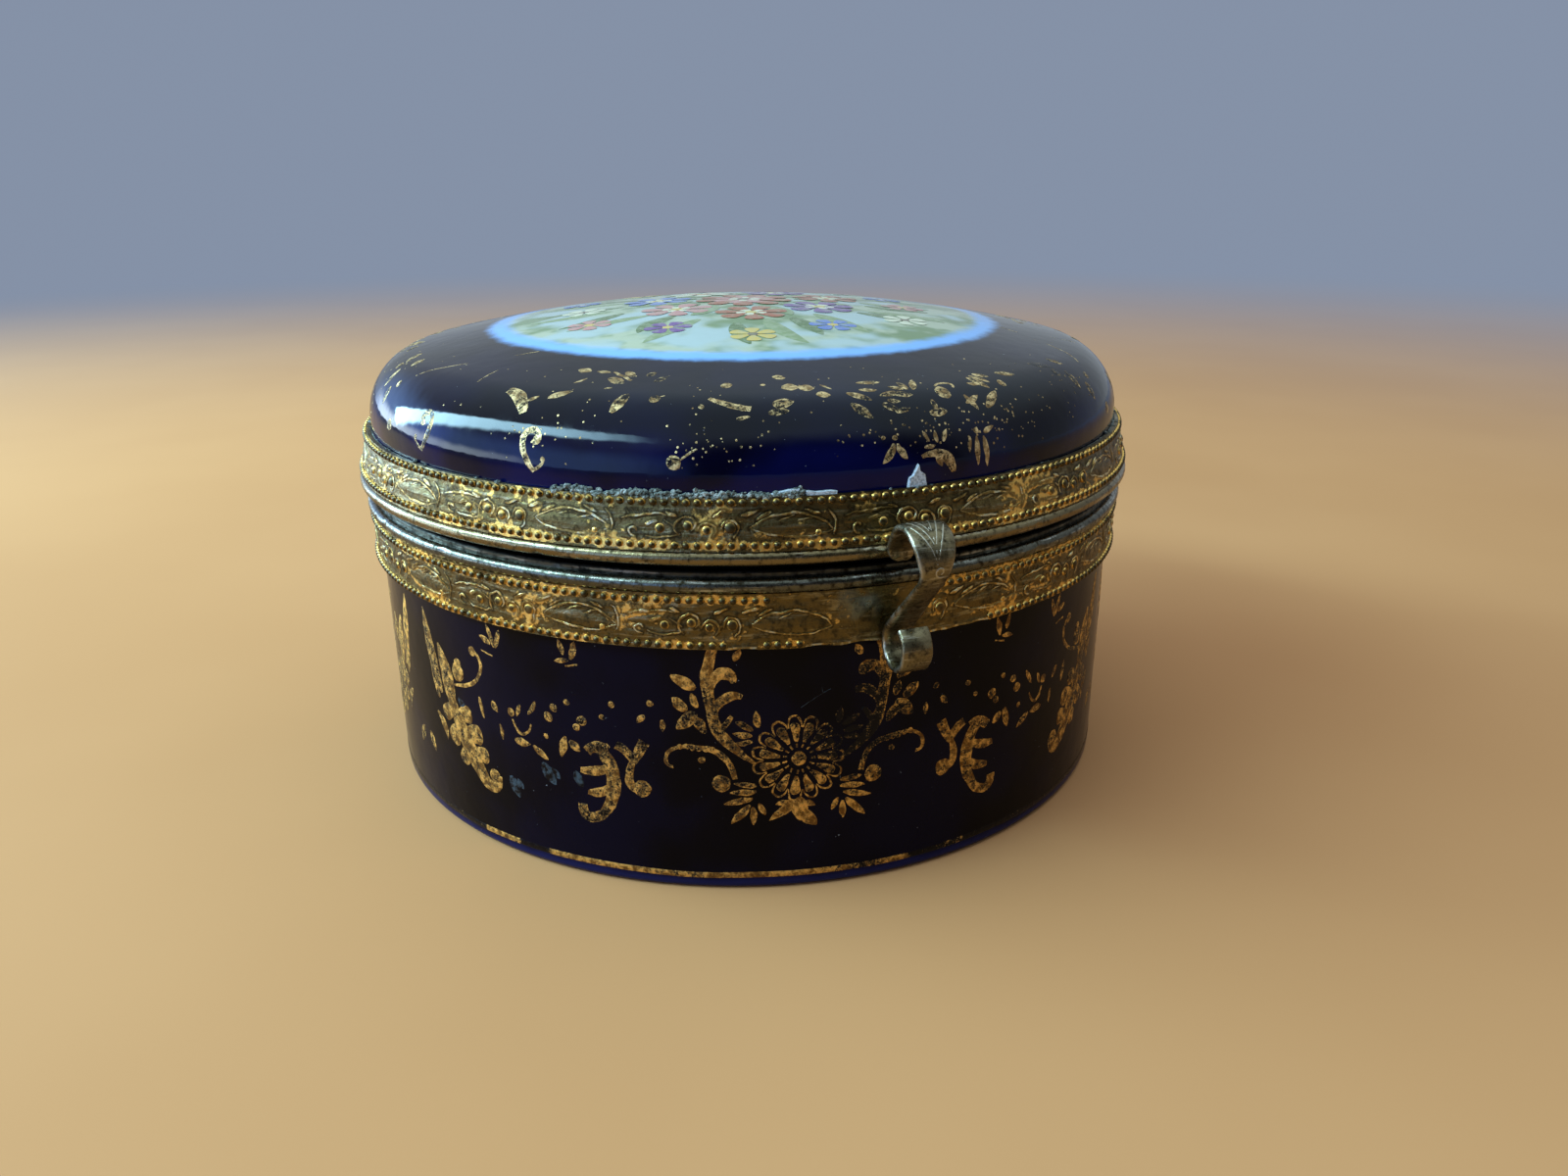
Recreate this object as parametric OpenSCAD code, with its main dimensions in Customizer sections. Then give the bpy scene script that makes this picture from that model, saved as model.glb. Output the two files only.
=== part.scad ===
// Round porcelain trinket box with two brass mounts, a back hinge and a sprung front clasp.
// The origin is the centre of the foot on the table, +Z is up and the clasp faces -Y.

/* [Porcelain body] */
// Outer diameter of the straight porcelain wall
body_d = 86; // [70:1:110]
// Height of the porcelain lip above the table
body_h = 31.5; // [26:0.5:45]
// Thickness of the porcelain wall
body_wall = 3.2; // [2:0.1:5]
// Thickness of the floor above the foot recess
floor_t = 3; // [2:0.1:6]
// Round between the floor and the wall inside
floor_fillet = 5; // [1:0.5:8]
// Width of the flat foot ring
foot_w = 3.4; // [2:0.2:8]
// Depth of the recess inside the foot ring
foot_recess = 0.8; // [0.3:0.1:2]
// Round on the outer bottom edge
base_edge_r = 0.8; // [0.2:0.1:2]

/* [Porcelain lid] */
// How much smaller the lid's radius is than the body's
lid_inset = 0.3; // [0:0.1:1]
// Thickness of the lid's porcelain
lid_wall = 3.1; // [2:0.1:4]
// Straight height of the lid's wall
lid_wall_h = 6.4; // [6:0.2:12]
// Radius of the round shoulder
shoulder_r = 7; // [5:0.5:9]
// Rise of the domed top above the straight wall
dome_h = 10.9; // [10:0.1:16]

/* [Metal mounts] */
// Gap between the two seats when the lid is closed
seat_gap = 0.2; // [0.1:0.05:0.6]
// Thickness of the flat seats over the porcelain lips
seat_t = 0.9; // [0.6:0.1:1.5]
// Distance from a seat to its rolled rim, half of the dark groove
groove_half = 0.55; // [0.3:0.05:0.8]
// Radius of the rolled rim on the body
body_rim_bead_r = 0.72; // [0.4:0.02:1]
// Radius of the rolled rim on the lid
lid_rim_bead_r = 0.68; // [0.4:0.02:1]
// How far the body's rim stands out from the porcelain wall
body_rim_proud = 1; // [0.8:0.1:2]
// How far the lid's rim stands out from the body's wall
lid_rim_proud = 1.5; // [1.2:0.1:2.5]
// Bedding plaster under the seats
bed_t = 0.3; // [0.1:0.05:0.6]
// Bedding plaster round the porcelain walls
bed_side = 0.15; // [0.05:0.05:0.2]
// Thickness of the stamped gallery strips
gallery_t = 0.4; // [0.3:0.05:0.6]
// Height of the body's gallery strip
body_gallery_h = 5.3; // [3:0.1:8]
// Height of the lid's gallery strip
lid_gallery_h = 4.6; // [3:0.1:5]
// Radius of the bead rows along the strips
bead_row_r = 0.32; // [0.2:0.02:0.38]
// Distance of a bead row from its edge of the strip
bead_row_inset = 0.5; // [0.4:0.05:1]

/* [Hinge] */
// Width over the knuckles
hinge_w = 18; // [12:0.5:26]
// How far the leaves reach past the knuckles at each end
leaf_margin = 1; // [0.5:0.1:3]
// Diameter of the knuckles
knuckle_d = 3; // [2.4:0.1:4]
// Width of the lid's middle knuckle
lid_knuckle_w = 6.4; // [3:0.2:8]
// Gap between neighbouring knuckles
knuckle_gap = 0.2; // [0.1:0.05:0.5]
// Gap between the knuckles and the rims
hinge_gap = 0.3; // [0.2:0.05:0.8]
// Diameter of the hinge pin
pin_d = 1.4; // [1:0.1:1.8]
// Radial play of the pin in the lid's knuckle
pin_play = 0.06; // [0.02:0.01:0.1]
// Diameter of the peened heads on the pin
pin_head_d = 2; // [1.8:0.1:2.4]
// Thickness of the peened heads
pin_head_t = 0.4; // [0.2:0.05:0.8]
// Thickness of the leaves
leaf_t = 0.7; // [0.4:0.05:1.2]
// Height of the leaves on the gallery strips
leaf_h = 3.6; // [2:0.1:4]

/* [Clasp] */
// Width of the spring strip at its crest
crest_w = 3.9; // [2.6:0.1:6]
// Width of the strip at the top of its outer leg
waist_w = 2.4; // [1.6:0.1:4]
// Width of the finger curl
curl_w = 2.9; // [2:0.1:5]
// Thickness of the spring strip
clasp_t = 0.6; // [0.4:0.05:0.9]
// Gap between the foot of the strip and the lid's rim
clasp_seat_gap = 0.05; // [0.02:0.01:0.1]
// Bend radius where the foot turns into the inner leg
foot_bend_r = 1.2; // [0.8:0.1:1.5]
// Radius of the arch
arch_r = 2.6; // [2:0.1:4]
// Distance from the lid's rim out to the centre of the arch
arch_reach = 4.4; // [4:0.1:7]
// Height of the arch's centre above the middle of the lid's rim
arch_rise = 0.9; // [0.5:0.1:3]
// Slope of the two legs
leg_slope = 45; // [40:1:50]
// Radius of the finger curl
curl_r = 2.1; // [1.5:0.1:3]
// Gap between the curl and the body's rim, seen from above
curl_gap = 0.15; // [0.1:0.05:1]
// Angle that the finger curl turns through
curl_turn = 285; // [240:5:300]

/* [Hidden] */
$fn = 96;
eps = 0.01;
quarter_turn = 90;
far = 4 * body_d;

body_r = body_d / 2;
lid_r = body_r - lid_inset;
body_inner_r = body_r - body_wall;
lid_inner_r = lid_r - lid_wall;
seat_inner_r = min(body_inner_r, lid_inner_r);
body_floor_z = foot_recess + floor_t;
foot_inner_r = body_r - base_edge_r - foot_w;

body_seat_z = body_h + bed_t + seat_t;
lid_seat_z = body_seat_z + seat_gap;
parting_z = body_seat_z + seat_gap / 2;
lid_lip_z = lid_seat_z + seat_t + bed_t;
shoulder_z = lid_lip_z + lid_wall_h;
lid_top_z = shoulder_z + dome_h;
// The crown's arc is tangent to the shoulder's arc and level on the axis
crown_r = (pow(lid_r - shoulder_r, 2) + pow(dome_h, 2) - pow(shoulder_r, 2)) / (2 * (dome_h - shoulder_r));
// Where the crown meets the shoulder, as a share of the shoulder's radius
dome_join = (lid_r - shoulder_r) / (crown_r - shoulder_r);

body_bed_r = body_r + bed_side;
lid_bed_r = lid_r + bed_side;
body_rim_r = body_r + body_rim_proud;
lid_rim_r = body_r + lid_rim_proud;
body_rim_low_z = body_seat_z - groove_half - 2 * body_rim_bead_r;
lid_rim_high_z = lid_seat_z + groove_half + 2 * lid_rim_bead_r;
lid_rim_mid_z = lid_rim_high_z - lid_rim_bead_r;
body_gallery_r = body_bed_r + gallery_t;
body_gallery_low_z = body_rim_low_z - body_gallery_h;
lid_gallery_high_z = lid_rim_high_z + lid_gallery_h;
lid_gallery_low_r = lid_rim_r - bead_row_r;
lid_gallery_high_r = lid_bed_r + gallery_t;
// How far the lid's gallery leans in at a height
function lid_gallery_r(z) =
    lid_gallery_low_r
    + (lid_gallery_high_r - lid_gallery_low_r) * (z - lid_rim_high_z) / lid_gallery_h;

knuckle_r = knuckle_d / 2;
hinge_y = max(body_rim_r, lid_rim_r) + hinge_gap + knuckle_r;
leaf_step = knuckle_r + hinge_gap;

clasp_seat_r = lid_rim_r + clasp_seat_gap;
foot_u = clasp_seat_r + clasp_t / 2;
arch_u = clasp_seat_r + arch_reach;
arch_z = lid_rim_mid_z + arch_rise;
curl_u = max(body_rim_r, body_gallery_r + bead_row_r) + curl_gap + clasp_t / 2 + curl_r;
// Ends of the straight legs on the arch, the foot bend and the curl
inner_leg_top = [arch_u - arch_r * sin(leg_slope), arch_z + arch_r * cos(leg_slope)];
outer_leg_top = [arch_u + arch_r * sin(leg_slope), arch_z - arch_r * cos(leg_slope)];
inner_leg_low_u = foot_u + foot_bend_r * (1 - sin(leg_slope));
inner_leg_low = [inner_leg_low_u, inner_leg_top[1] - (inner_leg_top[0] - inner_leg_low_u) * tan(leg_slope)];
foot_bend_z = inner_leg_low[1] - foot_bend_r * cos(leg_slope);
outer_leg_low_u = curl_u - curl_r * sin(leg_slope);
outer_leg_low = [outer_leg_low_u, outer_leg_top[1] - (outer_leg_top[0] - outer_leg_low_u) * tan(leg_slope)];
foot_low_z = lid_seat_z + groove_half;
clasp_w = max(crest_w, waist_w, curl_w);
crest_z = arch_z + arch_r + clasp_t;

// Half section from the axis with one round corner at the outside bottom
module rounded_half(r, h, corner_r) {
    square([r - corner_r, h]);
    translate([0, corner_r]) square([r, h - corner_r]);
    translate([r - corner_r, corner_r]) circle(corner_r);
}

// Half section of the lid's outline: straight wall, round shoulder and shallow crown
module dome_half(r, corner_r, crown, low_z) {
    translate([0, low_z]) square([r, shoulder_z - low_z]);
    translate([r - corner_r, shoulder_z]) intersection() {
        circle(corner_r);
        square(corner_r);
    }
    intersection() {
        translate([0, lid_top_z - crown_r]) circle(crown, $fn = 4 * $fn);
        translate([0, shoulder_z - eps]) square([r - corner_r + corner_r * dome_join, far]);
    }
}

// Section of a mount's ring, drawn upwards from its seat: seat, rolled rim and the web between them
module rim_section(bed_r, rim_r, bead_r) {
    difference() {
        union() {
            translate([seat_inner_r, 0]) square([bed_r - seat_inner_r, seat_t]);
            translate([bed_r - seat_t, groove_half]) square([rim_r - bead_r - bed_r + seat_t, bead_r]);
            translate([rim_r - bead_r, groove_half + bead_r]) circle(bead_r);
        }
        translate([0, seat_t]) square([bed_r, far]);
    }
}

// Section of a gallery strip between two heights, with a bead row along each edge
module gallery_section(low, high) {
    lean = (high - low) / norm(high - low);
    across = [gallery_t, 0];
    polygon([low - across, low, high, high - across]);
    for (end = [low + lean * bead_row_inset, high - lean * bead_row_inset]) {
        translate(end) circle(bead_row_r);
    }
}

// Straight stretch of the clasp's strip along +Y; what follows starts at its end
module strip_straight(length) {
    linear_extrude(clasp_w) translate([-clasp_t / 2, 0]) square([clasp_t, length]);
    translate([0, length, 0]) children();
}

// Round stretch of the clasp's strip that leaves along +Y and turns to -X; what follows starts at its end
module strip_bend(r, turn) {
    translate([-r, 0, 0]) {
        linear_extrude(clasp_w) intersection() {
            difference() {
                circle(r + clasp_t / 2);
                circle(r - clasp_t / 2);
            }
            swept(2 * (r + clasp_t), turn);
        }
        rotate([0, 0, turn]) translate([r, 0, 0]) children();
    }
}

// Flat region from +X round to an angle
module swept(reach, turn) {
    if (turn > 180) {
        translate([-reach, 0]) square([2 * reach, reach]);
        rotate([0, 0, turn]) translate([-2 * reach, -2 * reach]) square([4 * reach, 2 * reach]);
    } else {
        intersection() {
            translate([-reach, 0]) square([2 * reach, reach]);
            rotate([0, 0, turn]) translate([-2 * reach, -2 * reach]) square([4 * reach, 2 * reach]);
        }
    }
}

// Curved plate of a hinge leaf, soldered round the back of a mount
module leaf_plate(outline) {
    half_turn = asin((hinge_w / 2 + leaf_margin) / lid_rim_r);
    rotate([0, 0, 90 - half_turn]) rotate_extrude(angle = 2 * half_turn) polygon(outline);
}

// Round bar along the hinge axis, over one stretch of X
module hinge_bar(r, x0, x1) {
    translate([x0, hinge_y, parting_z]) rotate([0, 90, 0]) cylinder(r = r, h = x1 - x0);
}

// Bracket from the middle of a leaf to its knuckle, on the lid's side or the body's side of the axis
module knuckle_web(x0, x1, leaf_r, side) {
    low = side > 0 ? hinge_gap : -hinge_gap - leaf_t;
    difference() {
        translate([x0, 0, parting_z + low]) cube([x1 - x0, hinge_y, leaf_t]);
        translate([0, 0, parting_z - far / 2]) cylinder(r = leaf_r + leaf_t / 2, h = far, $fn = 4 * $fn);
    }
}

module porcelain_body() {
    color("midnightblue") rotate_extrude() difference() {
        rounded_half(body_r, body_h, base_edge_r);
        translate([0, body_floor_z]) rounded_half(body_inner_r, body_h, floor_fillet);
        translate([0, -eps]) square([foot_inner_r, foot_recess + eps]);
    }
}

module body_cement() {
    color("lightgray") rotate_extrude() {
        translate([seat_inner_r, body_h]) square([body_bed_r - seat_inner_r, bed_t]);
        translate([body_r, body_gallery_low_z]) square([bed_side, body_h - body_gallery_low_z + eps]);
    }
}

module body_rim_ring() {
    color("goldenrod") translate([0, 0, body_seat_z]) mirror([0, 0, 1]) rotate_extrude()
        rim_section(body_bed_r, body_rim_r, body_rim_bead_r);
}

module body_gallery_band() {
    color("darkgoldenrod") rotate_extrude()
        gallery_section([body_gallery_r, body_gallery_low_z], [body_gallery_r, body_rim_low_z]);
}

module body_hinge_leaf() {
    half_w = hinge_w / 2;
    inner_x = lid_knuckle_w / 2 + knuckle_gap;
    low_z = body_rim_low_z - leaf_h;
    seat_r = max(body_rim_r, body_gallery_r + bead_row_r);
    color("peru") difference() {
        union() {
            leaf_plate([
                [seat_r, low_z], [seat_r + leaf_t, low_z],
                [seat_r + leaf_t, parting_z - hinge_gap], [seat_r, parting_z - hinge_gap]
            ]);
            for (x = [-half_w, inner_x]) {
                hinge_bar(knuckle_r, x, x + half_w - inner_x);
                knuckle_web(x, x + half_w - inner_x, seat_r, -1);
            }
        }
        hinge_bar(pin_d / 2, -hinge_w, hinge_w);
        hinge_bar(leaf_step, -inner_x, inner_x);
    }
}

module hinge_pin() {
    half_w = hinge_w / 2;
    color("tan") {
        hinge_bar(pin_d / 2, -half_w - pin_head_t, half_w + pin_head_t);
        hinge_bar(pin_head_d / 2, -half_w - pin_head_t, -half_w);
        hinge_bar(pin_head_d / 2, half_w, half_w + pin_head_t);
    }
}

module porcelain_lid() {
    color("navy") rotate_extrude() difference() {
        dome_half(lid_r, shoulder_r, crown_r, lid_lip_z);
        dome_half(lid_inner_r, shoulder_r - lid_wall, crown_r - lid_wall, lid_lip_z - eps);
    }
}

module lid_cement() {
    color("lightgray") rotate_extrude() {
        translate([seat_inner_r, lid_seat_z + seat_t]) square([lid_bed_r - seat_inner_r, bed_t]);
        polygon([
            [lid_r, lid_lip_z - eps], [lid_bed_r, lid_lip_z - eps], [lid_bed_r, lid_rim_high_z],
            [lid_gallery_low_r - gallery_t, lid_rim_high_z],
            [lid_gallery_high_r - gallery_t, lid_gallery_high_z], [lid_r, lid_gallery_high_z]
        ]);
    }
}

module lid_rim_ring() {
    color("goldenrod") translate([0, 0, lid_seat_z]) rotate_extrude()
        rim_section(lid_bed_r, lid_rim_r, lid_rim_bead_r);
}

module lid_gallery_band() {
    color("darkgoldenrod") rotate_extrude()
        gallery_section([lid_gallery_low_r, lid_rim_high_z], [lid_gallery_high_r, lid_gallery_high_z]);
}

module lid_hinge_leaf() {
    half_w = hinge_w / 2;
    half_knuckle = lid_knuckle_w / 2;
    high_z = lid_rim_high_z + leaf_h;
    high_r = lid_gallery_r(high_z) + bead_row_r;
    color("peru") difference() {
        union() {
            leaf_plate([
                [lid_rim_r, parting_z + hinge_gap], [lid_rim_r + leaf_t, parting_z + hinge_gap],
                [lid_rim_r + leaf_t, lid_rim_high_z], [high_r + leaf_t, high_z],
                [high_r, high_z], [lid_rim_r, lid_rim_high_z]
            ]);
            hinge_bar(knuckle_r, -half_knuckle, half_knuckle);
            knuckle_web(-half_knuckle, half_knuckle, lid_rim_r, 1);
        }
        hinge_bar(pin_d / 2 + pin_play, -hinge_w, hinge_w);
        hinge_bar(leaf_step, -half_w - hinge_w, -half_knuckle);
        hinge_bar(leaf_step, half_knuckle, half_w + hinge_w);
    }
}

// Front outline of the clasp: broad at the crest, drawn in below it and wider again at the curl
module clasp_outline() {
    right = [
        [crest_w / 2, crest_z], [crest_w / 2, arch_z + arch_r / 2], [waist_w / 2, outer_leg_top[1]],
        [curl_w / 2, outer_leg_low[1]], [curl_w / 2, 0]
    ];
    left = [for (i = [len(right) - 1:-1:0]) [-right[i][0], right[i][1]]];
    rotate([90, 0, 0]) linear_extrude(far) polygon(concat(right, left));
}

// Strip bent in one piece: foot, inner leg, arch, outer leg and finger curl
module clasp() {
    color("darkkhaki") intersection() {
        clasp_outline();
        translate([clasp_w / 2, 0, 0]) rotate([90, 0, -90]) translate([foot_u, foot_low_z, 0])
            strip_straight(foot_bend_z - foot_low_z)
            mirror([1, 0, 0]) strip_bend(foot_bend_r, quarter_turn - leg_slope)
            strip_straight(norm(inner_leg_top - inner_leg_low))
            strip_bend(arch_r, 2 * quarter_turn)
            strip_straight(norm(outer_leg_top - outer_leg_low))
            mirror([1, 0, 0]) strip_bend(curl_r, curl_turn);
    }
}

porcelain_body();
body_cement();
body_rim_ring();
body_gallery_band();
body_hinge_leaf();
hinge_pin();
porcelain_lid();
lid_cement();
lid_rim_ring();
lid_gallery_band();
lid_hinge_leaf();
clasp();
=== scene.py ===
import math
import random

import bmesh
import bpy
from mathutils import Matrix, Vector, kdtree, noise


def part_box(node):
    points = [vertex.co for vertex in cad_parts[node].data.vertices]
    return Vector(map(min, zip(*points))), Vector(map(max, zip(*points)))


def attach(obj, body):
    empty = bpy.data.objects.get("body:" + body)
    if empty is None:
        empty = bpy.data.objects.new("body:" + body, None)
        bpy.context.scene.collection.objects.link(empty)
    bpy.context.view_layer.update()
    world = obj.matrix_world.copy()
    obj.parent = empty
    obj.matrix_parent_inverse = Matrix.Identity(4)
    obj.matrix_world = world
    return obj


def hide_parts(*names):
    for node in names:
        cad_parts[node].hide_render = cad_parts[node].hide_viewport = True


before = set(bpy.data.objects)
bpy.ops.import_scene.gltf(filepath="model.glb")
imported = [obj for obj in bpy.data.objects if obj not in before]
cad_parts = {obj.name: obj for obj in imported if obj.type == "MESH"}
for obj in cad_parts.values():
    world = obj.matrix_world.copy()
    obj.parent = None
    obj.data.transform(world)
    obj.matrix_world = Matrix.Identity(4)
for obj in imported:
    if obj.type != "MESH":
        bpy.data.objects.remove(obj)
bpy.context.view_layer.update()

MM = 0.001
NOISE_SEED = 3

# Unseeded, noise_vector would shake strokes and crumbs differently in each run
noise.seed_set(NOISE_SEED)


def node_top(node):
    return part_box(node)[1] / MM


def node_low(node):
    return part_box(node)[0] / MM


# Sizes of the porcelain, in millimetres
BODY_R = node_top("porcelain_body").x
BODY_H = node_top("porcelain_body").z
BODY_WALL = 3.2
FLOOR_T = 3.0
FLOOR_FILLET = 5.0
FOOT_W = 3.4
FOOT_SLOPE = 1.0
FOOT_RECESS = 0.8
BASE_EDGE_R = 0.8
LID_R = node_top("porcelain_lid").x
LID_LOW_Z = node_low("porcelain_lid").z
LID_TOP_Z = node_top("porcelain_lid").z
LID_WALL = 3.1
LID_WALL_H = 6.4
SHOULDER_R = 7.0
SHOULDER_Z = LID_LOW_Z + LID_WALL_H

# The crown's arc is tangent to the shoulder's arc and level on the axis
DOME_H = LID_TOP_Z - SHOULDER_Z
FLAT_R = LID_R - SHOULDER_R
CROWN_R = (FLAT_R**2 + DOME_H**2 - SHOULDER_R**2) / (2 * (DOME_H - SHOULDER_R))
CROWN_TURN = math.asin(FLAT_R / (CROWN_R - SHOULDER_R))
CROWN_ARC = CROWN_R * CROWN_TURN
SHOULDER_ARC = SHOULDER_R * (math.pi / 2 - CROWN_TURN)

# Sizes of the brass mounts
SEAT_T = 0.9
SEAT_EDGE = 0.2
GROOVE_HALF = 0.55
BED_SIDE = 0.15
STRIP_T = 0.4
SEAT_IN_R = LID_R - LID_WALL
BODY_SEAT_Z = node_top("body_rim_ring").z
LID_SEAT_Z = node_low("lid_rim_ring").z
BODY_RIM_R = node_top("body_rim_ring").x
LID_RIM_R = node_top("lid_rim_ring").x
BODY_RIM_BEAD_R = 0.72
LID_RIM_BEAD_R = 0.68
BODY_BAND_LOW_Z = node_low("body_gallery_band").z
BODY_BAND_HIGH_Z = node_top("body_gallery_band").z
BODY_BAND_H = BODY_BAND_HIGH_Z - BODY_BAND_LOW_Z
LID_BAND_LOW_Z = node_low("lid_gallery_band").z
LID_BAND_HIGH_Z = node_top("lid_gallery_band").z
LID_BAND_H = LID_BAND_HIGH_Z - LID_BAND_LOW_Z
BODY_BAND_R = BODY_R + BED_SIDE + STRIP_T
LID_BAND_BEHIND_RIM = 0.32
LID_BAND_LOW_R = LID_RIM_R - LID_BAND_BEHIND_RIM
LID_BAND_HIGH_R = LID_R + BED_SIDE + STRIP_T

# The clasp's bends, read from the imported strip: u is out from the axis
CLASP_T = 0.6
CREST_W = 3.9
WAIST_W = 2.4
CURL_W = 2.9
CLASP_SEAT_GAP = 0.05
FOOT_U = LID_RIM_R + CLASP_SEAT_GAP + CLASP_T / 2
FOOT_BEND_R = 1.2
ARCH_R = 2.6
ARCH_REACH = 4.4
ARCH_RISE = 0.9
ARCH_U = LID_RIM_R + CLASP_SEAT_GAP + ARCH_REACH
ARCH_Z = LID_SEAT_Z + GROOVE_HALF + LID_RIM_BEAD_R + ARCH_RISE
LEG_SLOPE = math.radians(45)
CURL_R = 2.1
CURL_GAP = 0.15
CURL_U = BODY_RIM_R + CURL_GAP + CLASP_T / 2 + CURL_R
CURL_TURN = 285


# Meshes and pieces

SPIN_STEPS = 240


def bend(centre, radius, start, end, steps=8):
    """Points of an arc in the half section, from one angle to another in degrees."""
    turns = [math.radians(start + (end - start) * i / steps) for i in range(steps + 1)]
    return [(centre[0] + radius * math.cos(a), centre[1] + radius * math.sin(a)) for a in turns]


def seamless(bm, gap):
    """Merges the seam and the poles and turns the faces outwards."""
    bmesh.ops.remove_doubles(bm, verts=bm.verts, dist=gap)
    bmesh.ops.recalc_face_normals(bm, faces=bm.faces)
    return bm


def lathe(outline, steps=SPIN_STEPS):
    """A round piece turned from its half section, given as (radius, height) in millimetres."""
    bm = bmesh.new()
    verts = [bm.verts.new((r * MM, 0, z * MM)) for r, z in outline]
    edges = [bm.edges.new(pair) for pair in zip(verts, verts[1:])]
    bmesh.ops.spin(
        bm, geom=verts + edges, cent=(0, 0, 0), axis=(0, 0, 1),
        angle=math.tau, steps=steps, use_merge=True,
    )
    return seamless(bm, 1e-6)


def ribbon(outline, steps):
    """A round strip of many steps, rolled up from a flat grid; outline is its closed half section."""
    rows = outline + outline[:1]
    bm = bmesh.new()
    bmesh.ops.create_grid(bm, x_segments=steps, y_segments=len(outline), size=0.5)
    for v in bm.verts:
        angle = v.co.x * math.tau
        r, z = rows[round((v.co.y + 0.5) * len(outline))]
        v.co = Vector((math.sin(angle) * r, -math.cos(angle) * r, z)) * MM
    return seamless(bm, 1e-7)


def meshed(name, bm, materials=()):
    mesh = bpy.data.meshes.new(name)
    bm.to_mesh(mesh)
    bm.free()
    for material in materials:
        mesh.materials.append(material)
    return mesh


def into_scene(name, data):
    made = bpy.data.objects.new(name, data)
    bpy.context.scene.collection.objects.link(made)
    return made


def piece(name, bm, materials, body, replaces=(), sharp=35):
    """Turns a bmesh into a named object that rides on a body of the frame."""
    mesh = meshed(name, bm, materials)
    mesh.shade_smooth()
    mesh.set_sharp_from_angle(angle=math.radians(sharp))
    made = into_scene(name, mesh)
    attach(made, body)
    if replaces:
        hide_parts(*replaces)


def clamped(value, most=1.0):
    return max(0.0, min(most, value))


def bell(away, reach):
    """1 at a place, fading with the distance from it."""
    return math.exp(-((away / reach) ** 2))


def within(angle, stretches):
    return any(low < angle < high for low, high in stretches)


def front_angle(spot):
    """Degrees round the box from the clasp."""
    return math.degrees(math.atan2(spot.x, -spot.y))


# Brush strokes, drawn flat in millimetres: X along, Y up, Z out of the surface
# Each stroke is a list of points with a list of its widths there

FINE_SHAKE = 1.7
SLOW_SHAKE = 0.6


def even(points, width, tips=0.55):
    """A stroke of one width with slightly finer tips."""
    widths = [width] * len(points)
    widths[0] = widths[-1] = width * tips
    return points, widths


def leaf(base, tip, width, bow=0.0):
    """A pointed leaf from its base to its tip, bowed to one side."""
    bx, by = base
    dx, dy = tip[0] - bx, tip[1] - by
    points = [(bx + dx * t - dy * bow * k, by + dy * t + dx * bow * k)
              for t, k in ((0, 0), (0.3, 1), (0.7, 1), (1, 0))]
    return points, [width * k for k in (0.25, 1.25, 1.1, 0.1)]


def leaves(*rows):
    """Leaves from rows of base x and y, tip x and y, width and any bow."""
    return [leaf((x, y), (tip_x, tip_y), *shape) for x, y, tip_x, tip_y, *shape in rows]


def petal(base, tip, width):
    """A petal, fine at its base and round at its tip."""
    points = [(base[0] + (tip[0] - base[0]) * t, base[1] + (tip[1] - base[1]) * t)
              for t in (0, 0.4, 0.75, 0.95, 1)]
    return points, [width * k for k in (0.3, 0.75, 1.2, 0.9, 0.3)]


def dot(centre, radius):
    x, y = centre
    points = [(x + radius * t, y) for t in (-1, -0.92, -0.4, 0.4, 0.92, 1)]
    return points, [radius * k for k in (0.3, 1.25, 2.15, 2.15, 1.25, 0.3)]


def dots(*rows):
    """Dots from rows of x, y and radius."""
    return [dot((x, y), radius) for x, y, radius in rows]


def lobe(points, width):
    """A stroke that swells towards a blunt, round end."""
    last = len(points) - 1
    widths = [width * (0.45 + 0.65 * i / last) for i in range(last)]
    return points, widths + [width * 0.35]


def ring_points(centre, *places):
    """Points about a centre, each from its radius and angle."""
    return [(centre[0] + r * math.cos(a), centre[1] + r * math.sin(a)) for r, a in places]


def spiral(centre, start, end, turn_from, turn_to, steps=7):
    """Points of a flat spiral between two radii, from one angle to another in degrees."""
    return ring_points(centre, *(
        (start + (end - start) * i / steps, math.radians(turn_from + (turn_to - turn_from) * i / steps))
        for i in range(steps + 1)))


def moved(strokes, dx, dy, size=1.0):
    return [([(x * size + dx, y * size + dy) for x, y in points], [w * size for w in widths])
            for points, widths in strokes]


def mirrored(strokes):
    return [([(-x, y) for x, y in points], widths) for points, widths in strokes]


def drawn(strokes, rise, fineness=3, sides=1, shake=0.0):
    """The strokes as one flat mesh; rise is a stroke's height over its half width, shake its unevenness."""
    curve = bpy.data.curves.new("strokes", "CURVE")
    curve.dimensions = "3D"
    curve.bevel_depth = 1.0
    curve.bevel_resolution = sides
    curve.use_fill_caps = True
    for points, widths in strokes:
        spline = curve.splines.new("NURBS")
        spline.points.add(len(points) - 1)
        for control, (x, y), width in zip(spline.points, points, widths):
            control.co = (x, y, 0, 1)
            control.radius = width / 2
        spline.order_u = min(4, len(points))
        spline.use_endpoint_u = True
        spline.resolution_u = fineness
    holder = bpy.data.objects.new("strokes", curve)
    mesh = bpy.data.meshes.new_from_object(holder)
    bpy.data.objects.remove(holder)
    bpy.data.curves.remove(curve)
    for v in mesh.vertices:
        wobble = noise.noise_vector(v.co * FINE_SHAKE) + noise.noise_vector(v.co * SLOW_SHAKE)
        v.co.x += wobble.x * shake
        v.co.y += wobble.y * shake
        v.co.z *= rise
    return mesh


# Surfaces that the strokes are laid on

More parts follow.
